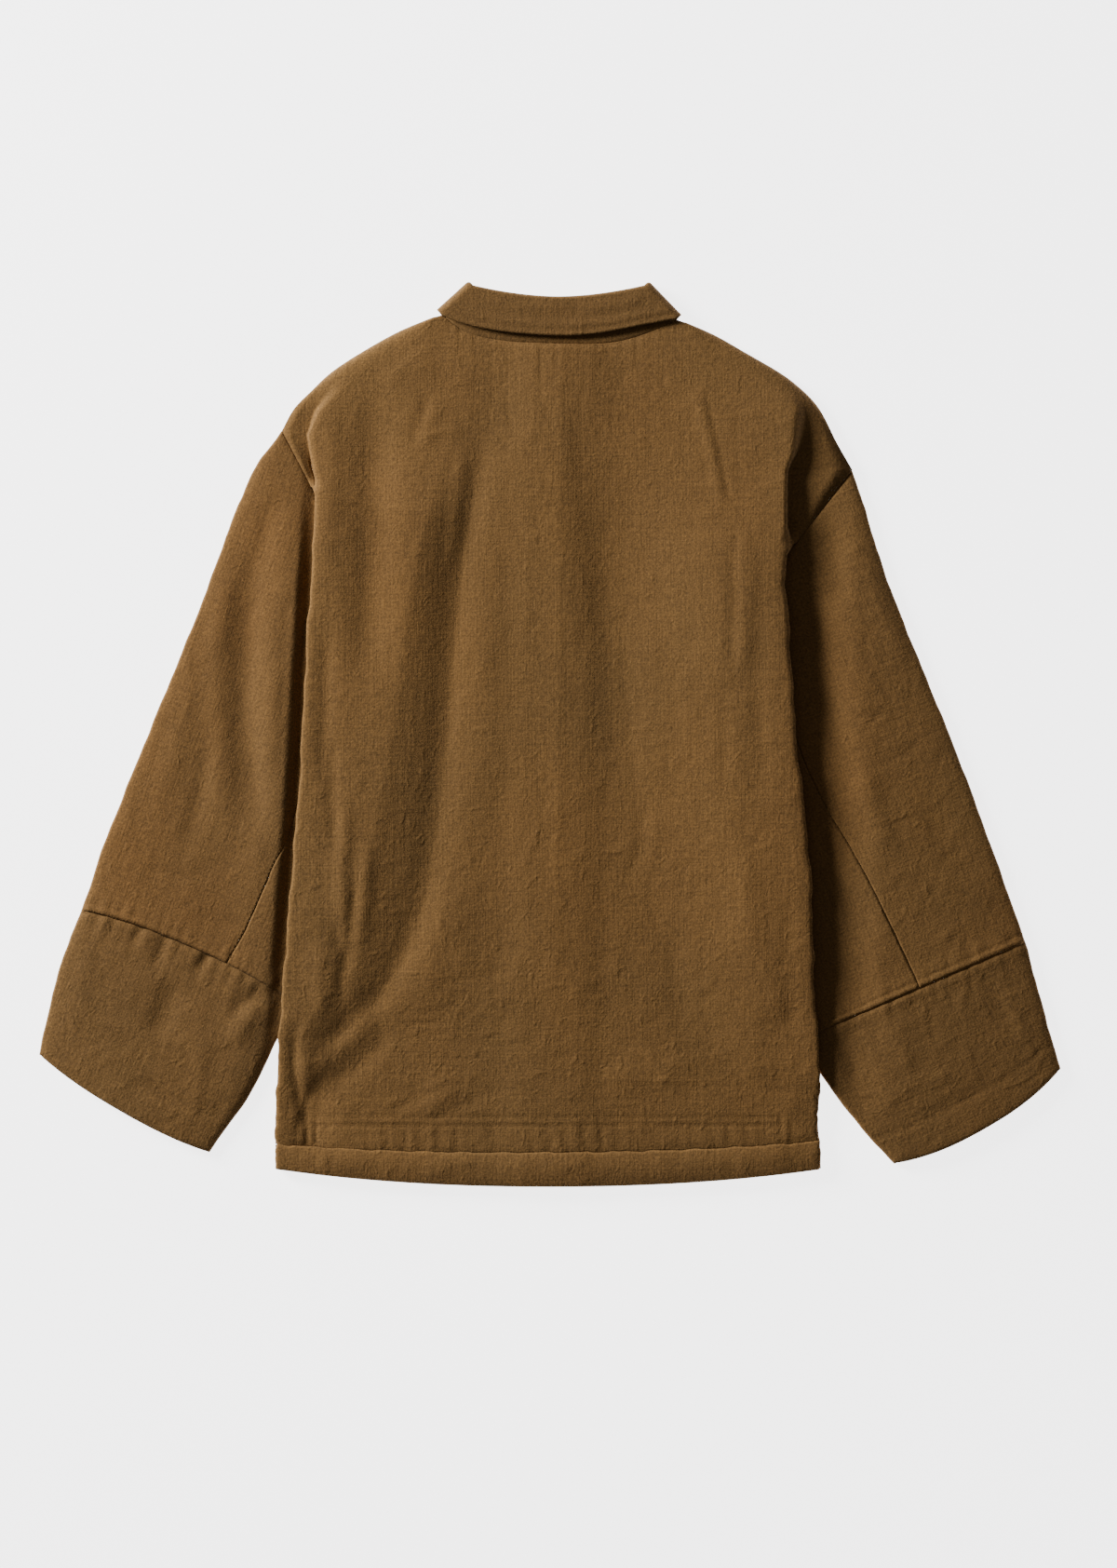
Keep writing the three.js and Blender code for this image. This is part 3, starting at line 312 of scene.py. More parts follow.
LEFT_SLEEVE_FOLDS = table(FOLD_COLUMNS, """
-216.4 201.4 -232.9 148.9 -243.4 111.4 10 8 -1
-249.4 141.4 -262.9 96.4 -276.4 54.4 8 8 0.6
-217.9 66.4 -224.6 -8.6 -230.6 -38.6 9 9 0.9
-238.9 156 -245.5 21.4 -233.6 -100 10 15 -2.3
-262 150 -268 20 -262 -110 12 10 0.9
-268.9 21.4 -280.9 -46.1 -295.9 -106.1 8 9 -1
-286.9 51.4 -300.4 -8.6 -319.9 -68.6 10 10 0.7
-208.9 126.4 -213.4 51.4 -216.4 -8.6 6 6 -1
-220.9 -76.1 -226.9 -106.1 -238.9 -151.1 6 6 -0.8
-307.9 -128.6 -285.4 -134.6 -246.4 -158.6 5 5 0.9
-330.4 -106.1 -300.4 -113.6 -270.4 -116.6 5 6 -0.7
-262.9 171.4 -274.1 133.9 -292.9 96.4 9 9 -0.7
""")
LEFT_CUFF_FOLDS = table(FOLD_COLUMNS, """
-327 -149 -333 -162 -338 -173 5 4 -1.4
-306 -157 -312 -173 -319 -190 6 5 -1.8
-262 -165 -276 -180 -291 -196 6 5 -1.8
-300 -196 -310 -222 -318 -250 13 12 -1.8
-228 -202 -242 -213 -256 -228 9 7 -2
-236 -214 -246 -232 -256 -252 8 7 1.8
-345 -282 -322 -284 -285 -302 7 6 -1.4
-285 -302 -272 -306 -262 -308 6 5 -1
-390.4 -226.1 -360.4 -233.6 -322.9 -239.6 5 5 0.7
-370.9 -166.1 -376.9 -203.6 -382.9 -241.1 8 8 0.7
-352.9 -241.1 -330.4 -256.1 -315.4 -278.6 6 6 -0.6
-277.9 -241.1 -282.4 -278.6 -279.4 -306.1 8 8 0.8
""")
RIGHT_SLEEVE_FOLDS = table(FOLD_COLUMNS, """
208.1 141.4 220.1 51.4 230.6 -25.1 10 12 -2
226.1 171.4 229.1 133.9 233.6 96.4 10 12 -1
251.6 171.4 266.6 111.4 299.6 43.9 12 14 0.9
211.1 -53.6 221.6 -83.6 232.1 -128.6 7 7 -0.9
244.1 -16.1 262.1 -61.1 277.1 -106.1 10 10 0.8
257.6 -30.4 289.1 -14.6 316.1 6.4 2.4 2.6 -0.7
235.9 12.4 269.6 13.9 299.6 3.4 2.4 2.4 -0.6
262.1 51.4 277.1 21.4 280.9 -8.6 3 3 -0.6
226.1 -106.1 235.9 -128.6 248.6 -152.6 3 4 -0.8
233.6 -98.6 247.1 -124.9 260.6 -147.4 5 5 0.7
299.6 -46.1 322.1 -91.1 344.6 -128.6 12 12 -0.6
307.1 -113.6 334.1 -121.1 359.6 -139.9 6 6 0.6
277.1 111.4 286.1 73.9 301.1 36.4 3 3 -0.6
""")
RIGHT_CUFF_FOLDS = table(FOLD_COLUMNS, """
233.6 -238.1 242.6 -260.6 247.1 -284.6 4 5 -1.3
223.1 -242.6 232.1 -271.1 241.1 -298.1 5 5 0.8
262.1 -227.6 265.1 -248.6 269.6 -271.1 4 4 -0.9
280.1 -221.6 283.1 -248.6 292.1 -278.6 6 6 0.8
307.1 -209.6 307.1 -233.6 313.1 -256.1 4 4 -0.8
329.6 -197.6 334.1 -218.6 341.6 -241.1 4 5 0.7
355.1 -185.6 362.6 -218.6 376.1 -248.6 8 8 -0.7
254.6 -301.1 292.1 -286.1 337.1 -271.1 6 6 0.8
277.1 -316.1 314.6 -301.1 359.6 -278.6 5 5 -0.7
367.1 -203.6 377.6 -233.6 388.1 -263.6 7 7 0.6
""")
COLLAR_FOLDS = table(FOLD_COLUMNS, """
-58.9 354.4 -22.9 343.9 22.1 342.4 5 5 0.9
22.1 342.4 59.6 346.1 83.6 354.4 5 5 0.8
-52.9 342.4 -22.9 334.1 7.1 332.6 3 3 -0.7
7.1 332.6 44.6 334.9 82.1 343.9 3 3 -0.6
""")


def smooth(t):
    """From 0 to 1 with level ends."""
    t = np.clip(t, 0, 1)
    return t * t * (3 - 2 * t)


def mix(a, b, t):
    return a + (b - a) * t


def curve(values, at, corners=()):
    """A column between its rows: smooth, never past its neighbours, and sharp at the corners."""
    at = np.clip(at, 0, len(values) - 1)
    result = np.zeros_like(at, dtype=float)
    ends = [0, *corners, len(values) - 1]
    for low, high in zip(ends, ends[1:]):
        part = values[low : high + 1]
        steps = np.diff(part)
        product = steps[1:] * steps[:-1]
        total = np.where(np.abs(steps[1:] + steps[:-1]) > 1e-9, steps[1:] + steps[:-1], 1)
        inner = np.where(product > 0, 2 * product / total, 0)
        slope = np.concatenate([steps[:1], inner, steps[-1:]])
        inside = (at >= low) & (at <= high)
        index = np.clip(np.floor(at - low).astype(int), 0, len(part) - 2)
        t = at - low - index
        found = (
            part[index] * (1 + 2 * t) * (1 - t) ** 2
            + slope[index] * t * (1 - t) ** 2
            + part[index + 1] * t * t * (3 - 2 * t)
            + slope[index + 1] * t * t * (t - 1)
        )
        result = np.where(inside, found, result)
    return result


def read(source, at, corners=()):
    """Every column of a table between its rows."""
    return {name: curve(values, at, corners) for name, values in source.items()}


def relief(folds, x, y):
    """Height that a table of soft folds adds at points of the cloth."""
    height = np.zeros_like(x)
    for fold in zip(*(folds[name] for name in FOLD_COLUMNS.split())):
        x1, y1, x2, y2, x3, y3, left, right, rise = fold
        nearest = np.full_like(x, np.inf)
        share = np.zeros_like(x)
        turned = np.zeros_like(x)
        lengths = [math.hypot(x2 - x1, y2 - y1), math.hypot(x3 - x2, y3 - y2)]
        done = 0
        for (ax, ay, bx, by), length in zip([(x1, y1, x2, y2), (x2, y2, x3, y3)], lengths):
            dx, dy = (bx - ax) / length, (by - ay) / length
            along = np.clip((x - ax) * dx + (y - ay) * dy, 0, length)
            off_x, off_y = x - ax - along * dx, y - ay - along * dy
            away = np.hypot(off_x, off_y)
            closer = away < nearest
            nearest = np.where(closer, away, nearest)
            turned = np.where(closer, off_x * dy - off_y * dx, turned)
            share = np.where(closer, (done + along) / sum(lengths), share)
            done += length
        width = np.where(turned > 0, right, left)
        rise = rise * min(1, max(0.35, (left + right) / 20))
        ends = smooth(share / 0.28) * smooth((1 - share) / 0.28)
        height += rise * ends * np.exp(-((nearest / width) ** 2))
    return height


def small_creases(seed, box, count, angle, spread, strength):
    """Many short shallow creases, most of them near one direction, as worn linen has."""
    chance = random.Random(seed)
    rows = []
    for _ in range(count):
        x, y = chance.uniform(box[0], box[1]), chance.uniform(box[2], box[3])
        turn = math.radians(chance.gauss(angle, spread))
        half = chance.uniform(6, 26)
        bend = chance.gauss(0, 0.18) * half
        dx, dy = math.cos(turn), math.sin(turn)
        width = chance.uniform(1.8, 4.5)
        rise = chance.choice((-1, -1, 1)) * strength * chance.uniform(0.4, 1)
        rows.append([
            x - half * dx, y - half * dy, x - bend * dy, y + bend * dx, x + half * dx, y + half * dy,
            width, width * chance.uniform(0.7, 1.4), rise,
        ])
    return dict(zip(FOLD_COLUMNS.split(), np.array(rows).T))


def directions(points, axis, closed=False):
    """Tangents of a grid of points along one of its axes."""
    if closed:
        return np.roll(points, -1, axis) - np.roll(points, 1, axis)
    return np.gradient(points, axis=axis, edge_order=2)


def normals(grid, closed, flip):
    """Unit normals of a grid of points, on the side that shows."""
    across = directions(grid, 1, closed)
    along = directions(grid, 0)
    normal = np.cross(across, along)
    normal /= np.maximum(np.linalg.norm(normal, axis=2, keepdims=True), 1e-9)
    return -normal if flip else normal


def cloth(name, grid, height=None, closed=False, flip=False, coarse=3):
    """A thin wall about a grid of points: a fine face outside, a coarser one inside, and a rim.

    The numbers of steps of the grid both ways are multiples of coarse.
    """
    normal = normals(grid, closed, flip)
    if height is not None:
        grid = grid + normal * height[:, :, None]
        normal = normals(grid, closed, flip)
    rows, columns = grid.shape[:2]
    outer = grid + normal * HALF
    inner = (grid - normal * HALF)[::coarse, ::coarse]
    points = np.concatenate([outer.reshape(-1, 3), inner.reshape(-1, 3)])
    outer_index = np.arange(rows * columns).reshape(rows, columns)
    inner_index = outer_index[::coarse, ::coarse]
    inner_index = outer_index.size + np.arange(inner_index.size).reshape(inner_index.shape)
    if closed:  # the first column follows the last one
        outer_index = np.column_stack([outer_index, outer_index[:, 0]])
        inner_index = np.column_stack([inner_index, inner_index[:, 0]])
    faces = []
    for index, inward in ((outer_index, False), (inner_index, True)):
        a, b, c, d = index[:-1, :-1], index[:-1, 1:], index[1:, 1:], index[1:, :-1]
        order = (a, d, c, b) if inward else (a, b, c, d)
        faces += np.stack(order, axis=2).reshape(-1, 4).tolist()
    walls = len(faces)
    rims = [(outer_index[0], inner_index[0], True), (outer_index[-1], inner_index[-1], False)]
    if not closed:
        rims += [(outer_index[:, 0], inner_index[:, 0], False), (outer_index[:, -1], inner_index[:, -1], True)]
    for fine, near, turned in rims:
        for i in range(len(near) - 1):
            face = [*fine[i * coarse : (i + 1) * coarse + 1].tolist(), int(near[i + 1]), int(near[i])]
            faces.append(face[::-1] if turned else face)
    if flip:
        faces = [face[::-1] for face in faces]
    return add_mesh(name, points, faces, walls)


def add_mesh(name, points, faces, smooth_faces=0):
    """A piece of the jacket from points in millimetres, whose first faces are shaded smooth."""
    points = (np.asarray(points) + [SHIFT[0], SHIFT[1], 0]) * MM
    mesh = bpy.data.meshes.new(name)
    mesh.from_pydata(points.tolist(), [], faces)
    mesh.update()
    mesh.polygons.foreach_set("use_smooth", [number < smooth_faces for number in range(len(faces))])
    piece = bpy.data.objects.new(name, mesh)
    bpy.context.scene.collection.objects.link(piece)
    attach(piece, "root")
    return piece


def centre_x(y):
    """The middle of the fronts' lap."""
    (x1, y1), (x2, y2) = LAP_CENTRE
    return mix(x1, x2, (y - y1) / (y2 - y1))


def near_seam(distance, depth, width):
    """Cloth drawn down towards a seam at distance 0."""
    return -depth * np.exp(-((distance / width) ** 2))


# Making the body


def rolled_edge(side, seam_z, under, t, square):
    """The turned edge from its seam, t = 0, to the flat, t = 1, as (way in from the edge, z)."""
    rise = side["side_z"] - seam_z
    width = np.minimum(np.abs(side["fold_x"] - side["edge_x"]) - HALF, rise**2 / ROLL_RADIUS)
    start = mix(np.arcsin(ROLLED_SEAM / 2 / rise), -1.35, under)
    angle = mix(start, math.pi / 2, t)
    below = angle < 0
    off = np.where(below, TURN * (1 - np.cos(angle)), width * (1 - np.cos(angle)) ** square)
    z = seam_z + np.where(below, TURN, rise) * np.sin(angle)
    return HALF + off, z


def wing_edge(side, t, lift):
    """The strip beyond the fold, level with the sleeve that it is sewn to and dipping to it."""
    width = np.abs(side["fold_x"] - side["edge_x"]) - SEAM / 2
    step = np.minimum(width - WING_MARGIN, WING_STEP)
    off = np.where(t < 0.6, (width - step) * t / 0.6, width - step + step * (t - 0.6) / 0.4)
    low = SECOND_LAYER + lift * (1 - smooth(t / 0.6)) - 1.2 * smooth(t / 0.6)
    return SEAM / 2 + off, mix(low, side["side_z"], smooth((t - 0.6) / 0.4))


def body_surface(rows, keys):
    """Middle surface of the back. Keys 0 to 8 run from its left edge to its right edge."""
    row, key = np.broadcast_arrays(rows[:, None], keys[None, :])
    shared = read(SHARED, row, BODY_CORNERS)
    left = read(LEFT_SIDE, row, BODY_CORNERS)
    right = read(RIGHT_SIDE, row, BODY_CORNERS)
    on_left = key < LAST_KEY / 2
    side = {name: np.where(on_left, left[name], right[name]) for name in left}
    inward = np.where(on_left, 1.0, -1.0)
    from_edge = np.minimum(key, LAST_KEY - key)
    t = np.clip(from_edge, 0, 1)
    is_wing = smooth(row - ROW_UNDERARM) * smooth((ROW_SHOULDER + 3.5 - row) / 3.5)
    is_wing = np.where(row <= ROW_UNDERARM, 0, is_wing)
    under = smooth((row - ROW_UNDER_FROM) / 0.6) * smooth(1 - (row - ROW_UNDERARM) / 0.5)
    square = mix(5.0, 1.6, smooth((row - ROW_UNDERARM) / 3))
    rolled_off, rolled_z = rolled_edge(side, shared["seam_z"], under, t, square)
    across = np.clip((ROW_SHOULDER - row) / (ROW_SHOULDER - ROW_UNDERARM), 0, 1)
    lifts = [sleeve_loft(side["edge_x"], side["edge_y"], sign, 0, across) for sign in SIDES]
    wing_off, wing_z = wing_edge(side, t, np.where(on_left, *lifts))
    off, edge_z = mix(rolled_off, wing_off, is_wing), mix(rolled_z, wing_z, is_wing)
    edge_x = side["edge_x"] + inward * off
    edge_x = edge_x + waver(row, 5, 1.2) * smooth((ROW_UNDERARM - row) / 2) * (from_edge < 2)
    middle = (left["foot_x"] + right["foot_x"]) / 2
    slope = np.clip(from_edge - 2, 0, 1)
    x = np.select(
        [from_edge < 1, from_edge < 2, from_edge < 3],
        [
            edge_x,
            mix(edge_x, side["top_x"], from_edge - 1),
            mix(side["top_x"], side["foot_x"], slope),
        ],
        mix(side["foot_x"], middle, from_edge - 3),
    )
    z = np.where(from_edge < 2, edge_z, mix(side["side_z"], MID_Z, even_slope(slope)))
    base = mix(shared["seam_z"], SECOND_LAYER + 0.6, is_wing)
    risen = np.where(from_edge < 1, np.clip((z - base) / (side["side_z"] - base), 0, 1), 1)
    z = z + risen * crest(x - right["edge_x"], row)
    y = body_row_y(row, x) + waver(x / 24, 9, 0.8) * smooth(1 - np.abs(row - ROW_HEM_SEAM) / 0.9)
    from_centre = np.abs(x - centre_x(y))
    z = z + BACK_OVER_LAP * (1 - smooth((from_centre - LAP_HALF - 5) / 25))
    z = z + press_crease(x, y) + lip(x - left["foot_x"], row)
    return np.stack([x, y, z], axis=2), from_edge


def waver(at, seed, size):
    """A slight waviness of an edge along its rows."""
    chance = random.Random(seed)
    total = 0
    for length, share in ((1.3, 0.5), (0.7, 0.3), (0.41, 0.2)):
        total = total + share * np.sin(2 * math.pi * at / length + chance.uniform(0, 6.3))
    return size * total


def even_slope(t):
    """From 0 to 1 at one slope, but for its rounded ends."""
    return smooth(t) * 0.3 + 0.7 * np.clip(t, 0, 1)


def crest(past_edge, row):
    """The right side's edge stands higher than its solid, and throws a shadow on the sleeve."""
    return 3.2 * smooth((past_edge + 110) / 110) * smooth((row - 3.5) / 3) * smooth((20 - row) / 3)


def press_crease(x, y):
    """The soft ridge that pressing left down the middle of the back."""
    fade = smooth((y + 260) / 160)
    return 1.3 * fade * np.exp(-np.abs(x - mix(6, 9, (y + 100) / 400)) / 32)


def lip(past_foot, row):
    """The left side's slope ends in a trough, and the middle of the back swells up beside it."""
    strength = smooth((row - 3) / 2.5) * smooth((19 - row) / 5)
    trough = np.exp(-(((past_foot + 2) / 13) ** 2))
    swell = np.exp(-(((past_foot - 22) / 22) ** 2))
    return strength * (0.8 * swell - 1.1 * trough)


def body_row_y(row, x):
    """Where a section of the back lies in y."""
    shared = read(SHARED, row, BODY_CORNERS)
    left = read(LEFT_SIDE, row, BODY_CORNERS)
    right = read(RIGHT_SIDE, row, BODY_CORNERS)
    across = np.clip((x - left["edge_x"]) / (right["edge_x"] - left["edge_x"]), 0, 1)
    square = shared["square"] * (1 + shared["skew"] * (1 - 2 * across))
    sag = shared["sag"] * (1 - np.abs(2 * across - 1) ** square)
    return mix(left["edge_y"], right["edge_y"], across) - sag


def spaced(parts):
    """Numbers in equal steps over several stretches: (from, to, steps)."""
    result = [parts[0][0]]
    for low, high, count in parts:
        result += [low + (high - low) * (i + 1) / count for i in range(count)]
    return np.array(result)


EDGE_KEYS = np.array([0, 0.2, 0.4, 0.55, 0.64, 0.72, 0.8, 0.88, 0.94])
FLAT_KEYS = spaced([(1, 2, 27), (2, 3, 24), (3, 5, 72), (5, 6, 36), (6, 7, 24)])
BODY_KEYS = np.concatenate([EDGE_KEYS, FLAT_KEYS, LAST_KEY - EDGE_KEYS[::-1]])


def puckers(along, seed, pitch):
    """Uneven gathers along a seam, from 0 between them to 1 on top of each."""
    chance = random.Random(seed)
    waves = [(chance.uniform(0.7, 1.5), chance.uniform(0, 6.3), chance.uniform(0.4, 1)) for _ in range(4)]
    total = sum(weight for _, _, weight in waves)
    value = sum(
        weight * np.sin(2 * math.pi * along / (pitch * factor) + phase) for factor, phase, weight in waves
    )
    return 0.5 + 0.5 * value / total


def clear_of_sides(x):
    """From 0 near the ends of each row to 1 further in."""
    return smooth((np.minimum(x - x[:, :1], x[:, -1:] - x) - 6) / 45)


def make_body():
    """The back and its hem band."""
    rows = spaced([(1, 3, 27), (3, 13, 189), (13, 16, 36), (16, 23, 54)])
    grid, from_edge = body_surface(rows, BODY_KEYS)
    grid[0, :, 1] += SEAM / 2
    grid[-1, :, 1] -= SEAM
    x, y = grid[:, :, 0], grid[:, :, 1]
    inside = smooth(from_edge * 1.4 - 0.3)
    to_hem = y - y[0][None, :]
    to_neck = y[-1][None, :] - y
    height = relief(BACK_FOLDS, x, y) * inside
    height += relief(small_creases(11, BACK_CREASES, 300, 84, 24, 0.3), x, y) * inside
    height += relief(small_creases(12, LOWER_CREASES, 140, 10, 28, 0.34), x, y) * inside
    height += relief(small_creases(13, LEFT_CREASES, 60, 38, 24, 0.38), x, y) * inside
    clear = clear_of_sides(x)
    tuck = (puckers(x, 3, 11) - 0.6) * clear
    between = smooth(to_hem / 5) * smooth((26 - to_hem) / 10)
    height += near_seam(to_hem, 0.9, 3.2) + 3.4 * tuck * between
    for line in HEM_STITCH_Y:
        height += near_seam(y - line, 0.45, 1.6) * clear
    neck_tuck = puckers(x, 5, 9) * smooth((120 - np.abs(x - 8)) / 40)
    height += near_seam(to_neck, 0.7, 2.5) - 0.35 * neck_tuck * np.exp(-to_neck / 16) * inside
    height = height * smooth(from_edge * 6)
    back = cloth("back_cloth", grid, height)
    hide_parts("back")

    rows = spaced([(0, 1, 15)])
    grid, from_edge = body_surface(rows, BODY_KEYS)
    grid[-1, :, 1] -= SEAM / 2
    x, y = grid[:, :, 0], grid[:, :, 1]
    share = rows[:, None] * np.ones_like(x)
    puff = 1.5 * np.sin(math.pi * np.clip(share, 0, 1)) ** 0.7
    clear = clear_of_sides(x)
    height = puff * mix(0.7, 1, clear) - 0.5
    height += 0.6 * puckers(x, 8, 15) * np.sin(math.pi * share) * clear
    height += relief(small_creases(14, HEM_CREASES, 40, 80, 25, 0.2), x, y)
    height = height * smooth(from_edge * 6)
    hem = cloth("hem_band_back_cloth", grid, height)
    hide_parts("hem_band_back")
    return back, hem


# Making the sleeves and cuffs


def sleeve_surface(source, sign, rows, turns):
    """A flattened sleeve: turns 0 to 1 run over its back from its outer edge to its inner one,
    1 to 2 round the inner fold, 2 to 3 under it and 3 to 4 round the outer fold.

    Returns the grid with the distances from the outer edge and the width between the edges.
    """
    row, turn = rows[:, None] + 0 * turns, turns + 0 * rows[:, None]
    line = read(source, row)
    dx, dy = line["inner_x"] - line["outer_x"], line["inner_y"] - line["outer_y"]
    width = np.hypot(dx, dy)
    flat = width - 2 * INSET
    zones = [turn < 1, turn < 2, turn < 3]
    off = np.select(
        zones,
        [
            INSET + turn * flat,
            INSET + flat + TURN * np.sin((turn - 1) * math.pi),
            INSET + (3 - turn) * flat,
        ],
        INSET - TURN * np.sin((turn - 3) * math.pi),
    )
    share = off / width
    off = off + waver(row, 21 + sign, 0.45) * (1 - share) - waver(row, 31 + sign, 0.45) * share
    seam_bow, end_bow = CUFF_BOW[sign]
    bow = seam_bow * smooth(1 - np.abs(row - ROW_CUFF) / 2.4) + end_bow * smooth((row - 11) / 2)
    bow = bow * (1 - np.abs(2 * share - 1) ** 2.4)
    x = line["outer_x"] + dx / width * off - sign * dy / width * bow
    y = line["outer_y"] + dy / width * off + sign * dx / width * bow
    middle = (FLOOR_LAYER + SECOND_LAYER) / 2
    z = np.select(
        zones,
        [
            SECOND_LAYER + sleeve_loft(x, y, sign, row, turn),
            middle + TURN * np.cos((turn - 1) * math.pi),
            FLOOR_LAYER + 0 * turn,
        ],
        middle - TURN * np.cos((turn - 3) * math.pi),
    )
    return np.stack([x, y, z], axis=2), off, width


def sleeve_loft(x, y, sign, row, across):
    """How far the back of the sleeve stands off its front."""
    side = SIDES[sign]
    known = slice(0, ROW_UNDERARM + 1)
    body_x = np.interp(y, side["edge_y"][known], side["edge_x"][known])
    past = sign * (x - body_x)
    if sign > 0:
        loft = mix(-0.8, SLEEVE_LOFT, smooth((past - 24) / 34))
    else:
        bulge = 3.0 * smooth(row / 3) * np.exp(-(((past - 13) / np.where(past < 13, 9, 26)) ** 2))
        loft = (SLEEVE_LOFT + bulge) * smooth((past - 0.5) / 12)
    crown = np.sqrt(np.maximum(0, 4 * across * (1 - across)))
    return loft * crown * mix(0.6, 1, smooth(row / 1.4))


def row_lengths(source, rows):
    """Lengths along the sleeve, in the middle between its edges."""
    line = read(source, rows)
    x, y = (line["outer_x"] + line["inner_x"]) / 2, (line["outer_y"] + line["inner_y"]) / 2
    return np.concatenate([[0], np.cumsum(np.hypot(np.diff(x), np.diff(y)))])


def open_armhole_seam(grid, source, sign):
    """Moves a sleeve's first row along the sleeve by its half of the seam's gap."""
    off_x = source["inner_y"][0] - source["outer_y"][0]
    off_y = source["outer_x"][0] - source["inner_x"][0]
    gap = sign * SEAM / 2 / math.hypot(off_x, off_y)
    grid[0, :, 0] -= off_x * gap
    grid[0, :, 1] -= off_y * gap


def make_sleeve(name, source, sign, folds, seed):
    """A sleeve's upper and under piece, down to the cuff seam."""
    rows = spaced([(0, 1, 18), (1, 9, 126), (9, ROW_CUFF, 24)])
    along = row_lengths(source, rows)[:, None]
    seam = curve(source["seam_at"], rows)[:, None]
    upper = np.hstack([
        mix(3 - seam, 3, np.linspace(0, 1, 25)[None, :-1]),
        np.linspace(3, 4, 10)[None, :-1] + 0 * seam,
        mix(0, seam, np.linspace(0, 1, 58)[None, :]),
    ])
    under = np.hstack([
        mix(seam, 1, np.linspace(0, 1, 40)[None, :-1]),
        np.linspace(1, 2, 10)[None, :-1] + 0 * seam,
        mix(2, 3 - seam, np.linspace(0, 1, 13)[None, :]),
    ])
    made = []
    creases = small_creases(seed, SLEEVE_BOX[sign], 170, 90 - 22 * sign, 26, 0.34)
    for part, turns in (("upper", upper), ("under", under)):
        grid, off, width = sleeve_surface(source, sign, rows, turns)
        open_armhole_seam(grid, source, sign)
        grid[-1, :, 1] += SEAM / 2
        x, y = grid[:, :, 0], grid[:, :, 1]
        from_fold = np.minimum(off, width - off)
        to_cuff = along[-1] - along
        seam_off = off - INSET - seam * (width - 2 * INSET)
        height = (relief(folds, x, y) + relief(creases, x, y)) * smooth(from_fold / 16)
        tuck = puckers(off, seed + 1, 12) * smooth(from_fold / 16)
        height += 0.9 * tuck * np.exp(-(((to_cuff - 7) / 6) ** 2))
        height += 0.9 * smooth((STITCH_OFF + 1 - to_cuff) / 2) + near_seam(to_cuff, 0.8, 1.1)
        height += near_seam(to_cuff - STITCH_OFF, 0.4, 1.3)
        height += near_seam(along, 0.6, 2.5) + near_seam(seam_off, 0.1, 1.0)
        height += near_seam(np.abs(seam_off) - STITCH_OFF / 2, 0.2, 1.0)
        height = np.where(turns < 1, height * smooth(from_fold / 4), 0)
        piece = cloth(f"sleeve_{name}_{part}_cloth", grid, height, flip=sign < 0)
        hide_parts(f"sleeve_{name}_{part}")
        made.append(piece)
    return made


def make_cuff(name, source, sign, folds, seed):
    """A cuff, as one tube."""
    rows = spaced([(ROW_CUFF, 10.6, 18), (10.6, 13, 42)])
    along = row_lengths(source, rows)[:, None]
    turns = np.concatenate([
        np.linspace(0, 1, 82)[:-1], np.linspace(1, 2, 10)[:-1],
        np.linspace(2, 3, 37)[:-1], np.linspace(3, 4, 10)[:-1],
    ])[None, :]
    grid, off, width = sleeve_surface(source, sign, rows, turns)
    grid[0, :, 1] -= SEAM / 2
    x, y = grid[:, :, 0], grid[:, :, 1]
    from_fold = np.minimum(off, width - off)
    to_opening = along[-1] - along
    creases = small_creases(seed, CUFF_BOX[sign], 80, 90 - 25 * sign, 30, 0.34)
    height = relief(folds, x, y) + relief(creases, x, y)
    tuck = puckers(off, seed + 1, 13)
    height += CUFF_GATHER[sign] * (tuck - 0.3) * np.exp(-along / 14) * smooth(along / 2.5)
    height = height * smooth(from_fold / 16)
    height += near_seam(along, 0.6, 1.4) + 0.3 * np.exp(-(((along - 5) / 4) ** 2))
    height += near_seam(to_opening - 24, 0.4, 1.8) + near_seam(to_opening, 0.5, 2.0)
    height = np.where(turns < 1, height * smooth(from_fold / 4), 0)
    piece = cloth(f"cuff_{name}_cloth", grid, height, closed=True, flip=sign < 0)
    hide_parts(f"cuff_{name}")
    return piece


# Making the collar


def sagging(left, right, sag, square, part):
    """Points of a line that sags between its ends."""
    drop = sag * (1 - np.abs(2 * part - 1) ** square)
    return np.stack([mix(left[0], right[0], part), mix(left[1], right[1], part) - drop], axis=1)


def leaf_edge(part):
    """The leaf's edge on the back, from its left corner to its right one."""
    return sagging(COLLAR_EDGE[-1], COLLAR_EDGE[1], EDGE_SAG, mix(3.0, 1.0, part), part)


def front_neck_y(sign, x):
    """Where the front's neck seam lies in y."""
    side = SIDES[sign]
    edge_x, edge_y = side["edge_x"][-1], side["edge_y"][-1]
    lap_x = NECK_CENTRE[0] - sign * LAP_HALF
    across = np.clip((x - edge_x) / (lap_x - edge_x), 0, 1)
    return mix(edge_y, NECK_CENTRE[1], 1 - (1 - across) ** 2)


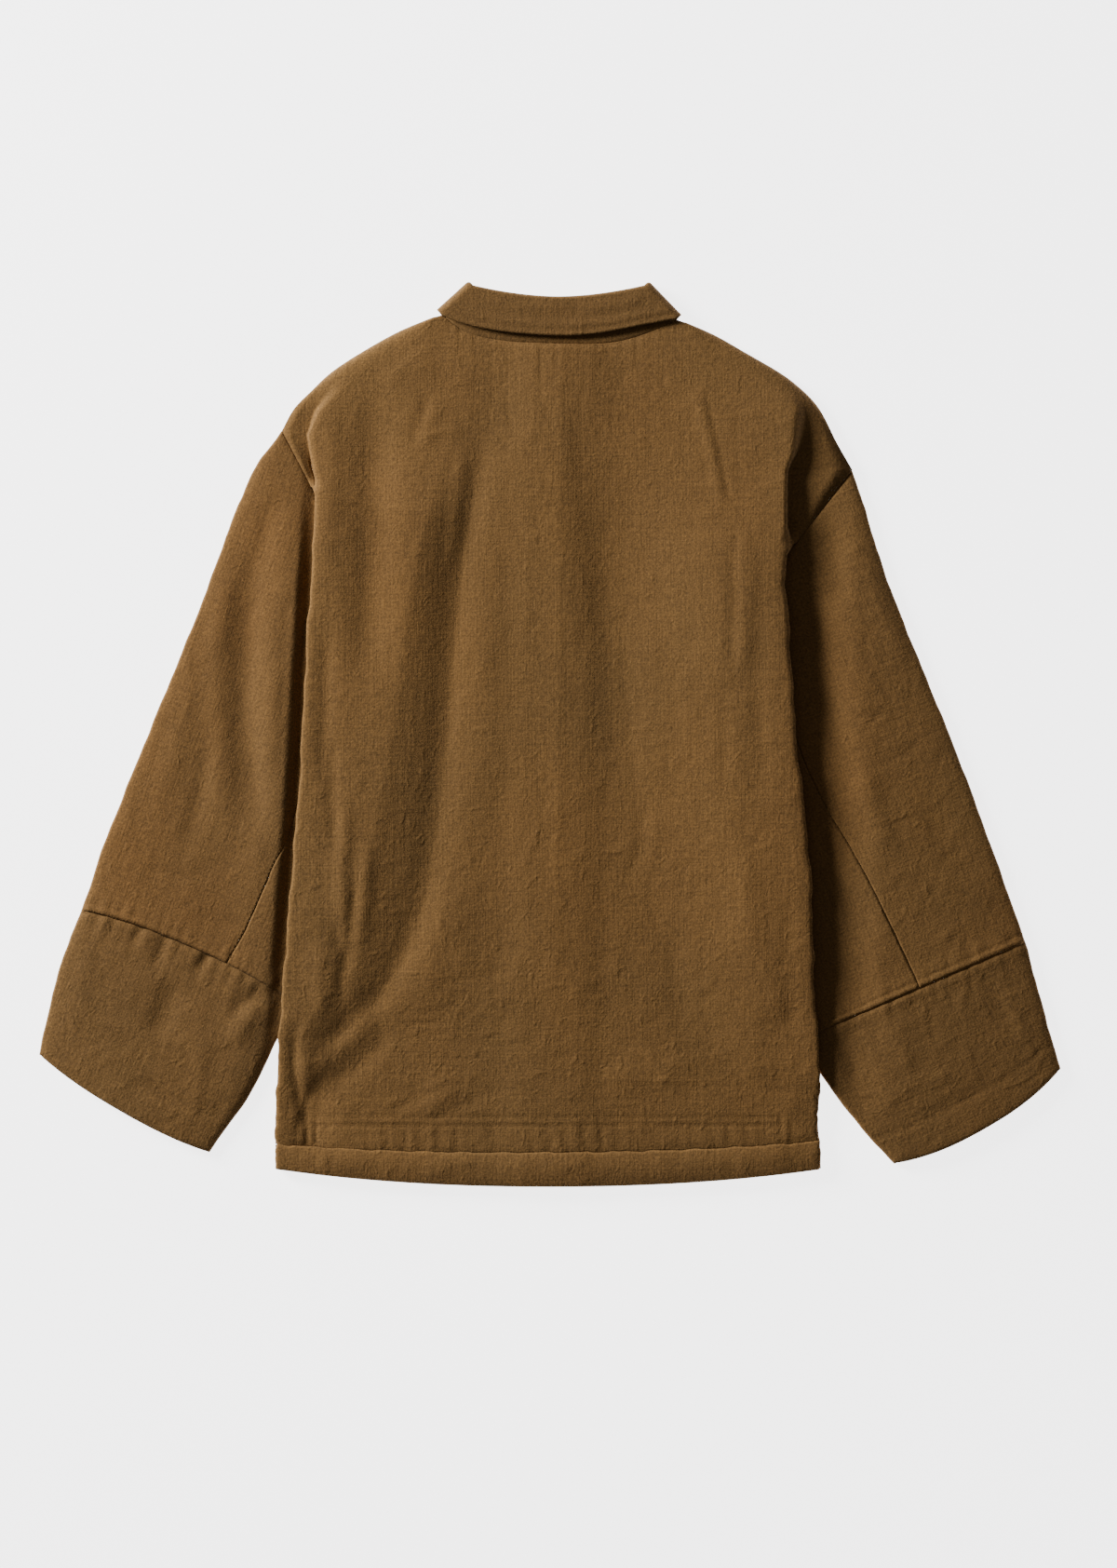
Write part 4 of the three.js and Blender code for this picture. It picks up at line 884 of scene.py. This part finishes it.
def collar_lines():
    """The roll, the leaf's edge and the stand's foot as seen from above, with the turn of the
    collar about its sides: 90 degrees on the back, -90 on the front."""
    quarter = math.pi / 2
    parts = []
    front_count, turn_count, back_count = 30, 13, 83
    side_x = {sign: SIDES[sign]["edge_x"][-1] - sign * INSET for sign in SIDES}
    for sign in (-1, 1):
        corner, roll_corner = COLLAR_EDGE[sign], COLLAR_ROLL[sign]
        part = np.linspace(0, 1, front_count + 1)[1:]
        bend = mix(1 - (1 - part) ** 2, part, 0.6)
        roll_end_x = centre_x(ROLL_END_Y) + sign * ROLL_END_OFF
        point_x = centre_x(POINT_Y) + sign * POINT_OFF
        roll_x, roll_y = mix(roll_corner[0], roll_end_x, part), mix(roll_corner[1], ROLL_END_Y, bend)
        roll = np.stack([roll_x, roll_y], axis=1)
        bow = sign * 7 * np.sin(math.pi * part)
        edge = np.stack([mix(corner[0], point_x, part) + bow, mix(corner[1], POINT_Y, part)], axis=1)
        foot_x = mix(side_x[sign], NECK_CENTRE[0] + sign * 2, part)
        foot_y = front_neck_y(sign, foot_x) + SEAM / 2
        lap = 4.0 * (1 - smooth((sign * (foot_x - centre_x(foot_y)) - LAP_HALF - 1) / 12))
        rise = LAYER * smooth((foot_x - centre_x(foot_y) - 7) / 9) if sign > 0 else np.maximum(LAYER, lap)
        foot = np.stack([foot_x, foot_y, FLOOR_LAYER + rise], axis=1)
        front = (roll, edge, foot, np.full(front_count, -quarter), np.full(front_count, sign))

        tilt = np.linspace(-quarter, quarter, turn_count)
        roll, edge = (np.repeat([point], turn_count, 0) for point in (roll_corner, corner))
        foot_x = side_x[sign] + sign * TURN * np.cos(tilt)
        back = 0.5 + 0.5 * np.sin(tilt)
        neck_y = body_row_y(np.full(turn_count, float(ROW_NECK)), foot_x)
        foot_y = mix(front_neck_y(sign, foot_x), neck_y, back) + 2 * ROLLED_SEAM
        foot = np.stack([foot_x, foot_y, COLLAR_MIDDLE + TURN * np.sin(tilt)], axis=1)
        turn = (roll, edge, foot, tilt, np.full(turn_count, sign))
        parts.append((front, turn))
    part = np.linspace(0, 1, back_count + 2)[1:-1]
    foot_x = mix(side_x[-1], side_x[1], part)
    foot_y = body_row_y(np.full(back_count, float(ROW_NECK)), foot_x) - STAND_UNDER
    back = (
        sagging(COLLAR_ROLL[-1], COLLAR_ROLL[1], ROLL_SAG, 1.8, part),
        leaf_edge(part),
        np.stack([foot_x, foot_y, np.full(back_count, COLLAR_MIDDLE + TURN - 0.9)], axis=1),
        np.full(back_count, quarter), np.full(back_count, 1),
    )
    (left_front, left_turn), (right_front, right_turn) = parts
    order = [
        [value[::-1] for value in left_front], left_turn, back,
        [value[::-1] for value in right_turn], right_front,
    ]
    return [np.concatenate([group[i] for group in order]) for i in range(5)]


def collar_row(line, lines, layer, past):
    """A line of the collar, moved out to a layer and past the line."""
    roll, edge, _, tilt, sign = lines
    up = roll - edge
    up = up / np.linalg.norm(up, axis=1, keepdims=True)
    out = np.stack([sign * up[:, 1], -sign * up[:, 0]], axis=1)
    at = line + up * past + out * (layer * np.cos(tilt))[:, None]
    return np.column_stack([at, COLLAR_MIDDLE + layer * np.sin(tilt)])


def make_collar():
    """The stand, and the leaf with the roll between them."""
    lines = collar_lines()
    roll, edge, foot, tilt, _ = lines
    top = collar_row(roll, lines, TURN, -INSET - 1.5 * SEAM)
    grid = np.stack([mix(foot, top, share) for share in np.linspace(0, 1, 10)])
    stand = cloth("collar_stand_cloth", grid)
    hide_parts("collar_stand")

    leaf_layer = 1.5 * LAYER
    rows = []
    for angle in np.linspace(-math.pi / 2, math.pi / 2, 10):
        layer = mix(TURN, leaf_layer, 0.5 + 0.5 * math.sin(angle))
        rows.append(collar_row(roll, lines, layer, TURN * math.cos(angle) - INSET))
    start, end = collar_row(roll, lines, leaf_layer, -INSET), collar_row(edge, lines, leaf_layer, 0)
    rows += [mix(start, end, share) for share in np.linspace(0, 1, 19)[1:]]
    grid = np.stack(rows)
    share = np.concatenate([np.zeros(10), np.linspace(0, 1, 19)[1:]])[:, None]
    x, y = grid[:, :, 0], grid[:, :, 1]
    on_back = smooth((tilt - 0.9) / 0.6)[None, :]
    height = relief(COLLAR_FOLDS, x, y)
    height += relief(small_creases(31, COLLAR_CREASES, 40, 20, 40, 0.2), x, y)
    to_edge = (1 - share) * LEAF_WIDTH
    height += near_seam(to_edge - 4, 0.3, 1.2) + 0.3 * np.exp(-(((to_edge - 8) / 3) ** 2))
    height = height * on_back * smooth(share * 6) * smooth(to_edge / 2)
    leaf = cloth("collar_leaf_cloth", grid, height, flip=True)
    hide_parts("collar_leaf")
    return stand, leaf


# Making the stitches


class Cloths:
    """Finds the top of the shown cloth under a point."""

    def __init__(self, pieces):
        self.trees = []
        for mesh in (piece.data for piece in pieces):
            points, faces = [v.co for v in mesh.vertices], [f.vertices for f in mesh.polygons]
            self.trees.append(BVHTree.FromPolygons(points, faces))

    def top(self, x, y):
        """The highest cloth at a place in millimetres, or None beside the cloth."""
        start = Vector(((x + SHIFT[0]) * MM, (y + SHIFT[1]) * MM, 0.1))
        found = [tree.ray_cast(start, Vector((0, 0, -1)))[0] for tree in self.trees]
        heights = [place.z / MM for place in found if place]
        return max(heights) if heights else None


def stitch_row(name, line, pieces, pitch=STITCH_PITCH):
    """Small thread lozenges, end to end along a line of (x, y) points."""
    tops_of = Cloths(pieces)
    line = np.array(line)
    lengths = np.concatenate([[0], np.cumsum(np.hypot(*np.diff(line, axis=0).T))])
    points, faces = [], []
    for number in range(int(lengths[-1] / pitch)):
        at = (number + 0.5) * pitch + np.array([-STITCH / 2, 0, STITCH / 2])
        xs, ys = np.interp(at, lengths, line[:, 0]), np.interp(at, lengths, line[:, 1])
        tops = [tops_of.top(x, y) for x, y in zip(xs, ys)]
        if None in tops:
            continue
        side_x, side_y = (ys[0] - ys[2]) / STITCH * STITCH_HALF, (xs[2] - xs[0]) / STITCH * STITCH_HALF
        middle = max(tops[1], (tops[0] + tops[2]) / 2)
        first = len(points)
        points += [
            (xs[0], ys[0], tops[0] - 0.1), (xs[2], ys[2], tops[2] - 0.1),
            (xs[1] + side_x, ys[1] + side_y, middle), (xs[1], ys[1], middle + STITCH_UP),
            (xs[1] - side_x, ys[1] - side_y, middle), (xs[1], ys[1], middle - STITCH_UP),
        ]
        for a, b in ((2, 3), (3, 4), (4, 5), (5, 2)):
            faces += [(first, first + b, first + a), (first + 1, first + a, first + b)]
    row = add_mesh(name, points, faces)
    row.data.materials.append(thread)
    return row


def across_sleeve(source, off_end):
    """A line across a sleeve's back, a little above its cuff seam."""
    line = []
    for share in np.arange(0.03, 0.97, 0.01):
        (x, y), (back_x, back_y) = (
            [mix(source["outer_" + axis][row], source["inner_" + axis][row], share) for axis in "xy"]
            for row in (ROW_CUFF, ROW_CUFF - 1)
        )
        part = off_end / math.hypot(back_x - x, back_y - y)
        line.append((mix(x, back_x, part), mix(y, back_y, part)))
    return line


def down_sleeve(source, aside):
    """A line beside a sleeve's lengthwise seam."""
    line = []
    for row in np.arange(0.3, 9.8, 0.05):
        at = {key: float(curve(value, np.array([row]))[0]) for key, value in source.items()}
        dx, dy = at["inner_x"] - at["outer_x"], at["inner_y"] - at["outer_y"]
        width = math.hypot(dx, dy)
        off = INSET + at["seam_at"] * (width - 2 * INSET) + aside
        line.append((at["outer_x"] + dx / width * off, at["outer_y"] + dy / width * off))
    return line


# The pieces

back, hem = make_body()
left_sleeve = make_sleeve("left", LEFT_SLEEVE, -1, LEFT_SLEEVE_FOLDS, 41)
right_sleeve = make_sleeve("right", RIGHT_SLEEVE, 1, RIGHT_SLEEVE_FOLDS, 51)
left_cuff = make_cuff("left", LEFT_SLEEVE, -1, LEFT_CUFF_FOLDS, 61)
right_cuff = make_cuff("right", RIGHT_SLEEVE, 1, RIGHT_CUFF_FOLDS, 71)
stand, leaf = make_collar()
cloths = [back, hem, *left_sleeve, *right_sleeve, left_cuff, right_cuff, stand, leaf]

# Finishes


class Nodes:
    """Short ways to add and join shader nodes of one material."""

    def __init__(self, name):
        self.material = bpy.data.materials.new(name)
        self.material.use_nodes = True
        self.tree = self.material.node_tree
        self.shader = self.tree.nodes["Principled BSDF"]

    def add(self, kind, settings=None, **inputs):
        node = self.tree.nodes.new(kind)
        for name, value in (settings or {}).items():
            setattr(node, name, value)
        for name, value in inputs.items():
            socket = int(name[2:]) if name.startswith("in") else name.replace("_", " ")
            self.put(node.inputs[socket], value)
        return node

    def put(self, socket, value):
        if isinstance(value, bpy.types.NodeSocket):
            self.tree.links.new(value, socket)
        else:
            socket.default_value = value

    def math(self, operation, first, second):
        node = self.add("ShaderNodeMath", {"operation": operation}, in0=first, in1=second)
        return node.outputs[0]

    def finish(self, **inputs):
        """Sets the shader's values and returns the material."""
        for name, value in inputs.items():
            self.put(self.shader.inputs[name.replace("_", " ")], value)
        return self.material

    def noise(self, place, scale, detail=2.0, roughness=0.5, distortion=0.0, kind="FBM"):
        node = self.add("ShaderNodeTexNoise", {"noise_type": kind, "normalize": kind == "FBM"})
        values = {
            "Vector": place, "Scale": scale, "Detail": detail,
            "Roughness": roughness, "Distortion": distortion,
        }
        for socket, value in values.items():
            self.put(node.inputs[socket], value)
        return node.outputs["Fac"]

    def stretched(self, place, scales, angle=0.0):
        node = self.add("ShaderNodeMapping", Vector=place, Scale=scales, Rotation=(0, 0, angle))
        return node.outputs["Vector"]

    def spread(self, value, low, high, first=0.3, last=0.7):
        """Maps first to last, by default a noise value's usual range, onto low to high."""
        node = self.add("ShaderNodeMapRange", None, in0=value, in1=first, in2=last, in3=low, in4=high)
        return node.outputs[0]


def linen_material(name, angle, warmth, shade):
    """Slubby linen whose lengthwise threads run at an angle, in degrees, from the y axis."""
    nodes = Nodes(name)
    place = nodes.add("ShaderNodeTexCoord").outputs["Object"]
    grain = nodes.stretched(place, (1, 1, 1), math.radians(angle))
    slub = nodes.noise(nodes.stretched(grain, (700, 22, 200)), 1.0, 2, 0.6)
    weft = nodes.noise(nodes.stretched(grain, (26, 620, 200)), 1.0, 2, 0.6)
    fine = nodes.noise(grain, 620, 2, 0.7)
    streak = nodes.noise(nodes.stretched(grain, (90, 7, 30)), 1.0, 3, 0.55)
    patch = nodes.noise(place, 9, 3, 0.5)
    warm = nodes.noise(nodes.stretched(place, (1, 0.6, 1)), 7, 2, 0.5)

    tone = nodes.spread(slub, 0.93 * shade, 1.07 * shade)
    for value, change in ((weft, 0.07), (fine, 0.34), (streak, 0.02), (patch, 0.05)):
        tone = nodes.math("MULTIPLY", tone, nodes.spread(value, 1 - change, 1 + change))
    brown = nodes.add("ShaderNodeMix", {"data_type": "RGBA"})
    nodes.put(brown.inputs[0], nodes.spread(warm, 0.0, warmth))
    nodes.put(brown.inputs[6], (*LINEN_BROWN, 1))
    nodes.put(brown.inputs[7], (*LINEN_WARM, 1))
    colour = nodes.add("ShaderNodeVectorMath", {"operation": "SCALE"})
    nodes.put(colour.inputs[0], brown.outputs[2])
    nodes.put(colour.inputs["Scale"], tone)

    folded = nodes.noise(nodes.stretched(grain, (1, 0.75, 1)), 38, 5, 0.6, 0.8, RIDGED)
    across = nodes.noise(nodes.stretched(grain, (0.6, 1.2, 1)), 50, 4, 0.55, 0.9, RIDGED)
    soft = nodes.noise(nodes.stretched(grain, (1, 0.7, 1)), 75, 4, 0.65, 0.4)
    crackle = nodes.noise(nodes.stretched(grain, (1, 0.8, 1)), 130, 3, 0.6, 1.2, RIDGED)
    height = nodes.math("MULTIPLY", folded, 0.46)
    for value, weight in ((across, 0.4), (soft, 0.4), (crackle, 0.32)):
        height = nodes.math("ADD", height, nodes.math("MULTIPLY", value, weight))
    y = nodes.add("ShaderNodeSeparateXYZ", Vector=place).outputs[1]
    lower = nodes.spread(y, 0.85, 1.3, 0.1, -0.25)  # more creased towards the hem
    height = nodes.math("MULTIPLY", height, lower)
    threads = nodes.math("ADD", nodes.math("MULTIPLY", slub, 0.18), nodes.math("MULTIPLY", weft, 0.17))
    height = nodes.math("ADD", height, threads)
    height = nodes.math("ADD", height, nodes.math("MULTIPLY", fine, 0.3))
    bump = nodes.add("ShaderNodeBump", Strength=1.0, Distance=0.001, Height=height)
    return nodes.finish(
        Base_Color=colour.outputs[0], Normal=bump.outputs[0], Roughness=0.9, Specular_IOR_Level=0.25,
        Sheen_Weight=0.05, Sheen_Roughness=0.5, Sheen_Tint=(0.9, 0.75, 0.5, 1),
    )


for name, angle, warmth, shade, pieces in (
    ("body", 0, 0.5, 1.04, [back, hem]),
    ("left_sleeve", 20, 1.0, 0.9, left_sleeve),
    ("right_sleeve", -20, 0.6, 1.0, right_sleeve),
    ("left_cuff", 24, 0.4, 0.9, [left_cuff]),
    ("right_cuff", -24, 0.4, 0.95, [right_cuff]),
    ("collar", 90, 0.3, 0.92, [stand, leaf]),
):
    linen = linen_material(f"linen_{name}", angle, warmth, shade)
    for piece in pieces:
        piece.data.materials.append(linen)

thread = Nodes("thread").finish(Base_Color=(*THREAD_BROWN, 1), Roughness=0.8)

hem_rows = [
    stitch_row(f"hem_stitches_{number}", [(x, y) for x in range(*HEM_STITCH_X)], [back])
    for number, y in enumerate(HEM_STITCH_Y)
]
for side, source, pieces in (("left", LEFT_SLEEVE, left_sleeve), ("right", RIGHT_SLEEVE, right_sleeve)):
    over_all = [*pieces, back]
    cuff_row = stitch_row(f"cuff_stitches_{side}", across_sleeve(source, STITCH_OFF), over_all)
    seam_rows = [
        stitch_row(f"sleeve_stitches_{side}_{number}", down_sleeve(source, aside), pieces)
        for number, aside in enumerate((-1.2, -1.2 - TWIN_GAP))
    ]
leaf_left, leaf_right = COLLAR_EDGE[-1][0], COLLAR_EDGE[1][0]
leaf_line = leaf_edge((np.arange(*LEAF_STITCH_X) - leaf_left) / (leaf_right - leaf_left))
leaf_row = stitch_row("leaf_stitches", leaf_line + [0, LEAF_STITCH_OFF], [leaf])
tacks = [
    stitch_row(f"neck_tack_{number}", [(x - TACK_HALF, TACK_Y), (x + TACK_HALF, TACK_Y)], [back], TACK_PITCH)
    for number, x in enumerate(TACK_X)
]
horn = Nodes("horn").finish(Base_Color=(*HORN_BROWN, 1), Roughness=0.35)

# Pieces kept from the part: the fronts beneath, their hems and the buttons
for piece in bpy.data.objects:
    if piece.type == "MESH" and not piece.hide_render and piece not in cloths:
        piece.data.materials.clear()
        linen = back.data.materials[0]
        piece.data.materials.append(horn if piece.name.startswith("button") else linen)

# Studio

floor_mesh = bpy.data.meshes.new("floor")
corners = [(x * FLOOR_HALF, y * FLOOR_HALF, 0) for x, y in ((-1, -1), (1, -1), (1, 1), (-1, 1))]
floor_mesh.from_pydata(corners, [], [(0, 1, 2, 3)])
floor = bpy.data.objects.new("floor", floor_mesh)
bpy.context.scene.collection.objects.link(floor)
floor_mesh.materials.append(Nodes("pale_floor").finish(
    Base_Color=(0.86, 0.85, 0.855, 1), Roughness=0.9,
    Emission_Color=(1, 0.99, 0.995, 1), Emission_Strength=3.8,
))

world = bpy.data.worlds.new("studio")
bpy.context.scene.world = world
world.use_nodes = True
sky = world.node_tree.nodes["Background"].inputs
sky["Color"].default_value = (1, 0.99, 0.98, 1)
sky["Strength"].default_value = 0.12

light_data = bpy.data.lights.new("key", "AREA")
light_data.size, light_data.energy = 1.1, 310
light = bpy.data.objects.new("key", light_data)
light.location = (-2.8, 1.55, 1.05)
light.rotation_euler = (-light.location).to_track_quat("-Z", "Y").to_euler()
bpy.context.scene.collection.objects.link(light)

camera_data = bpy.data.cameras.new("camera")
camera_data.lens, camera_data.sensor_width = 171, 36
camera_data.clip_end = 50
camera = bpy.data.objects.new("camera", camera_data)
camera.location = (*VIEW_CENTRE, CAMERA_HEIGHT)
bpy.context.scene.collection.objects.link(camera)
bpy.context.scene.camera = camera
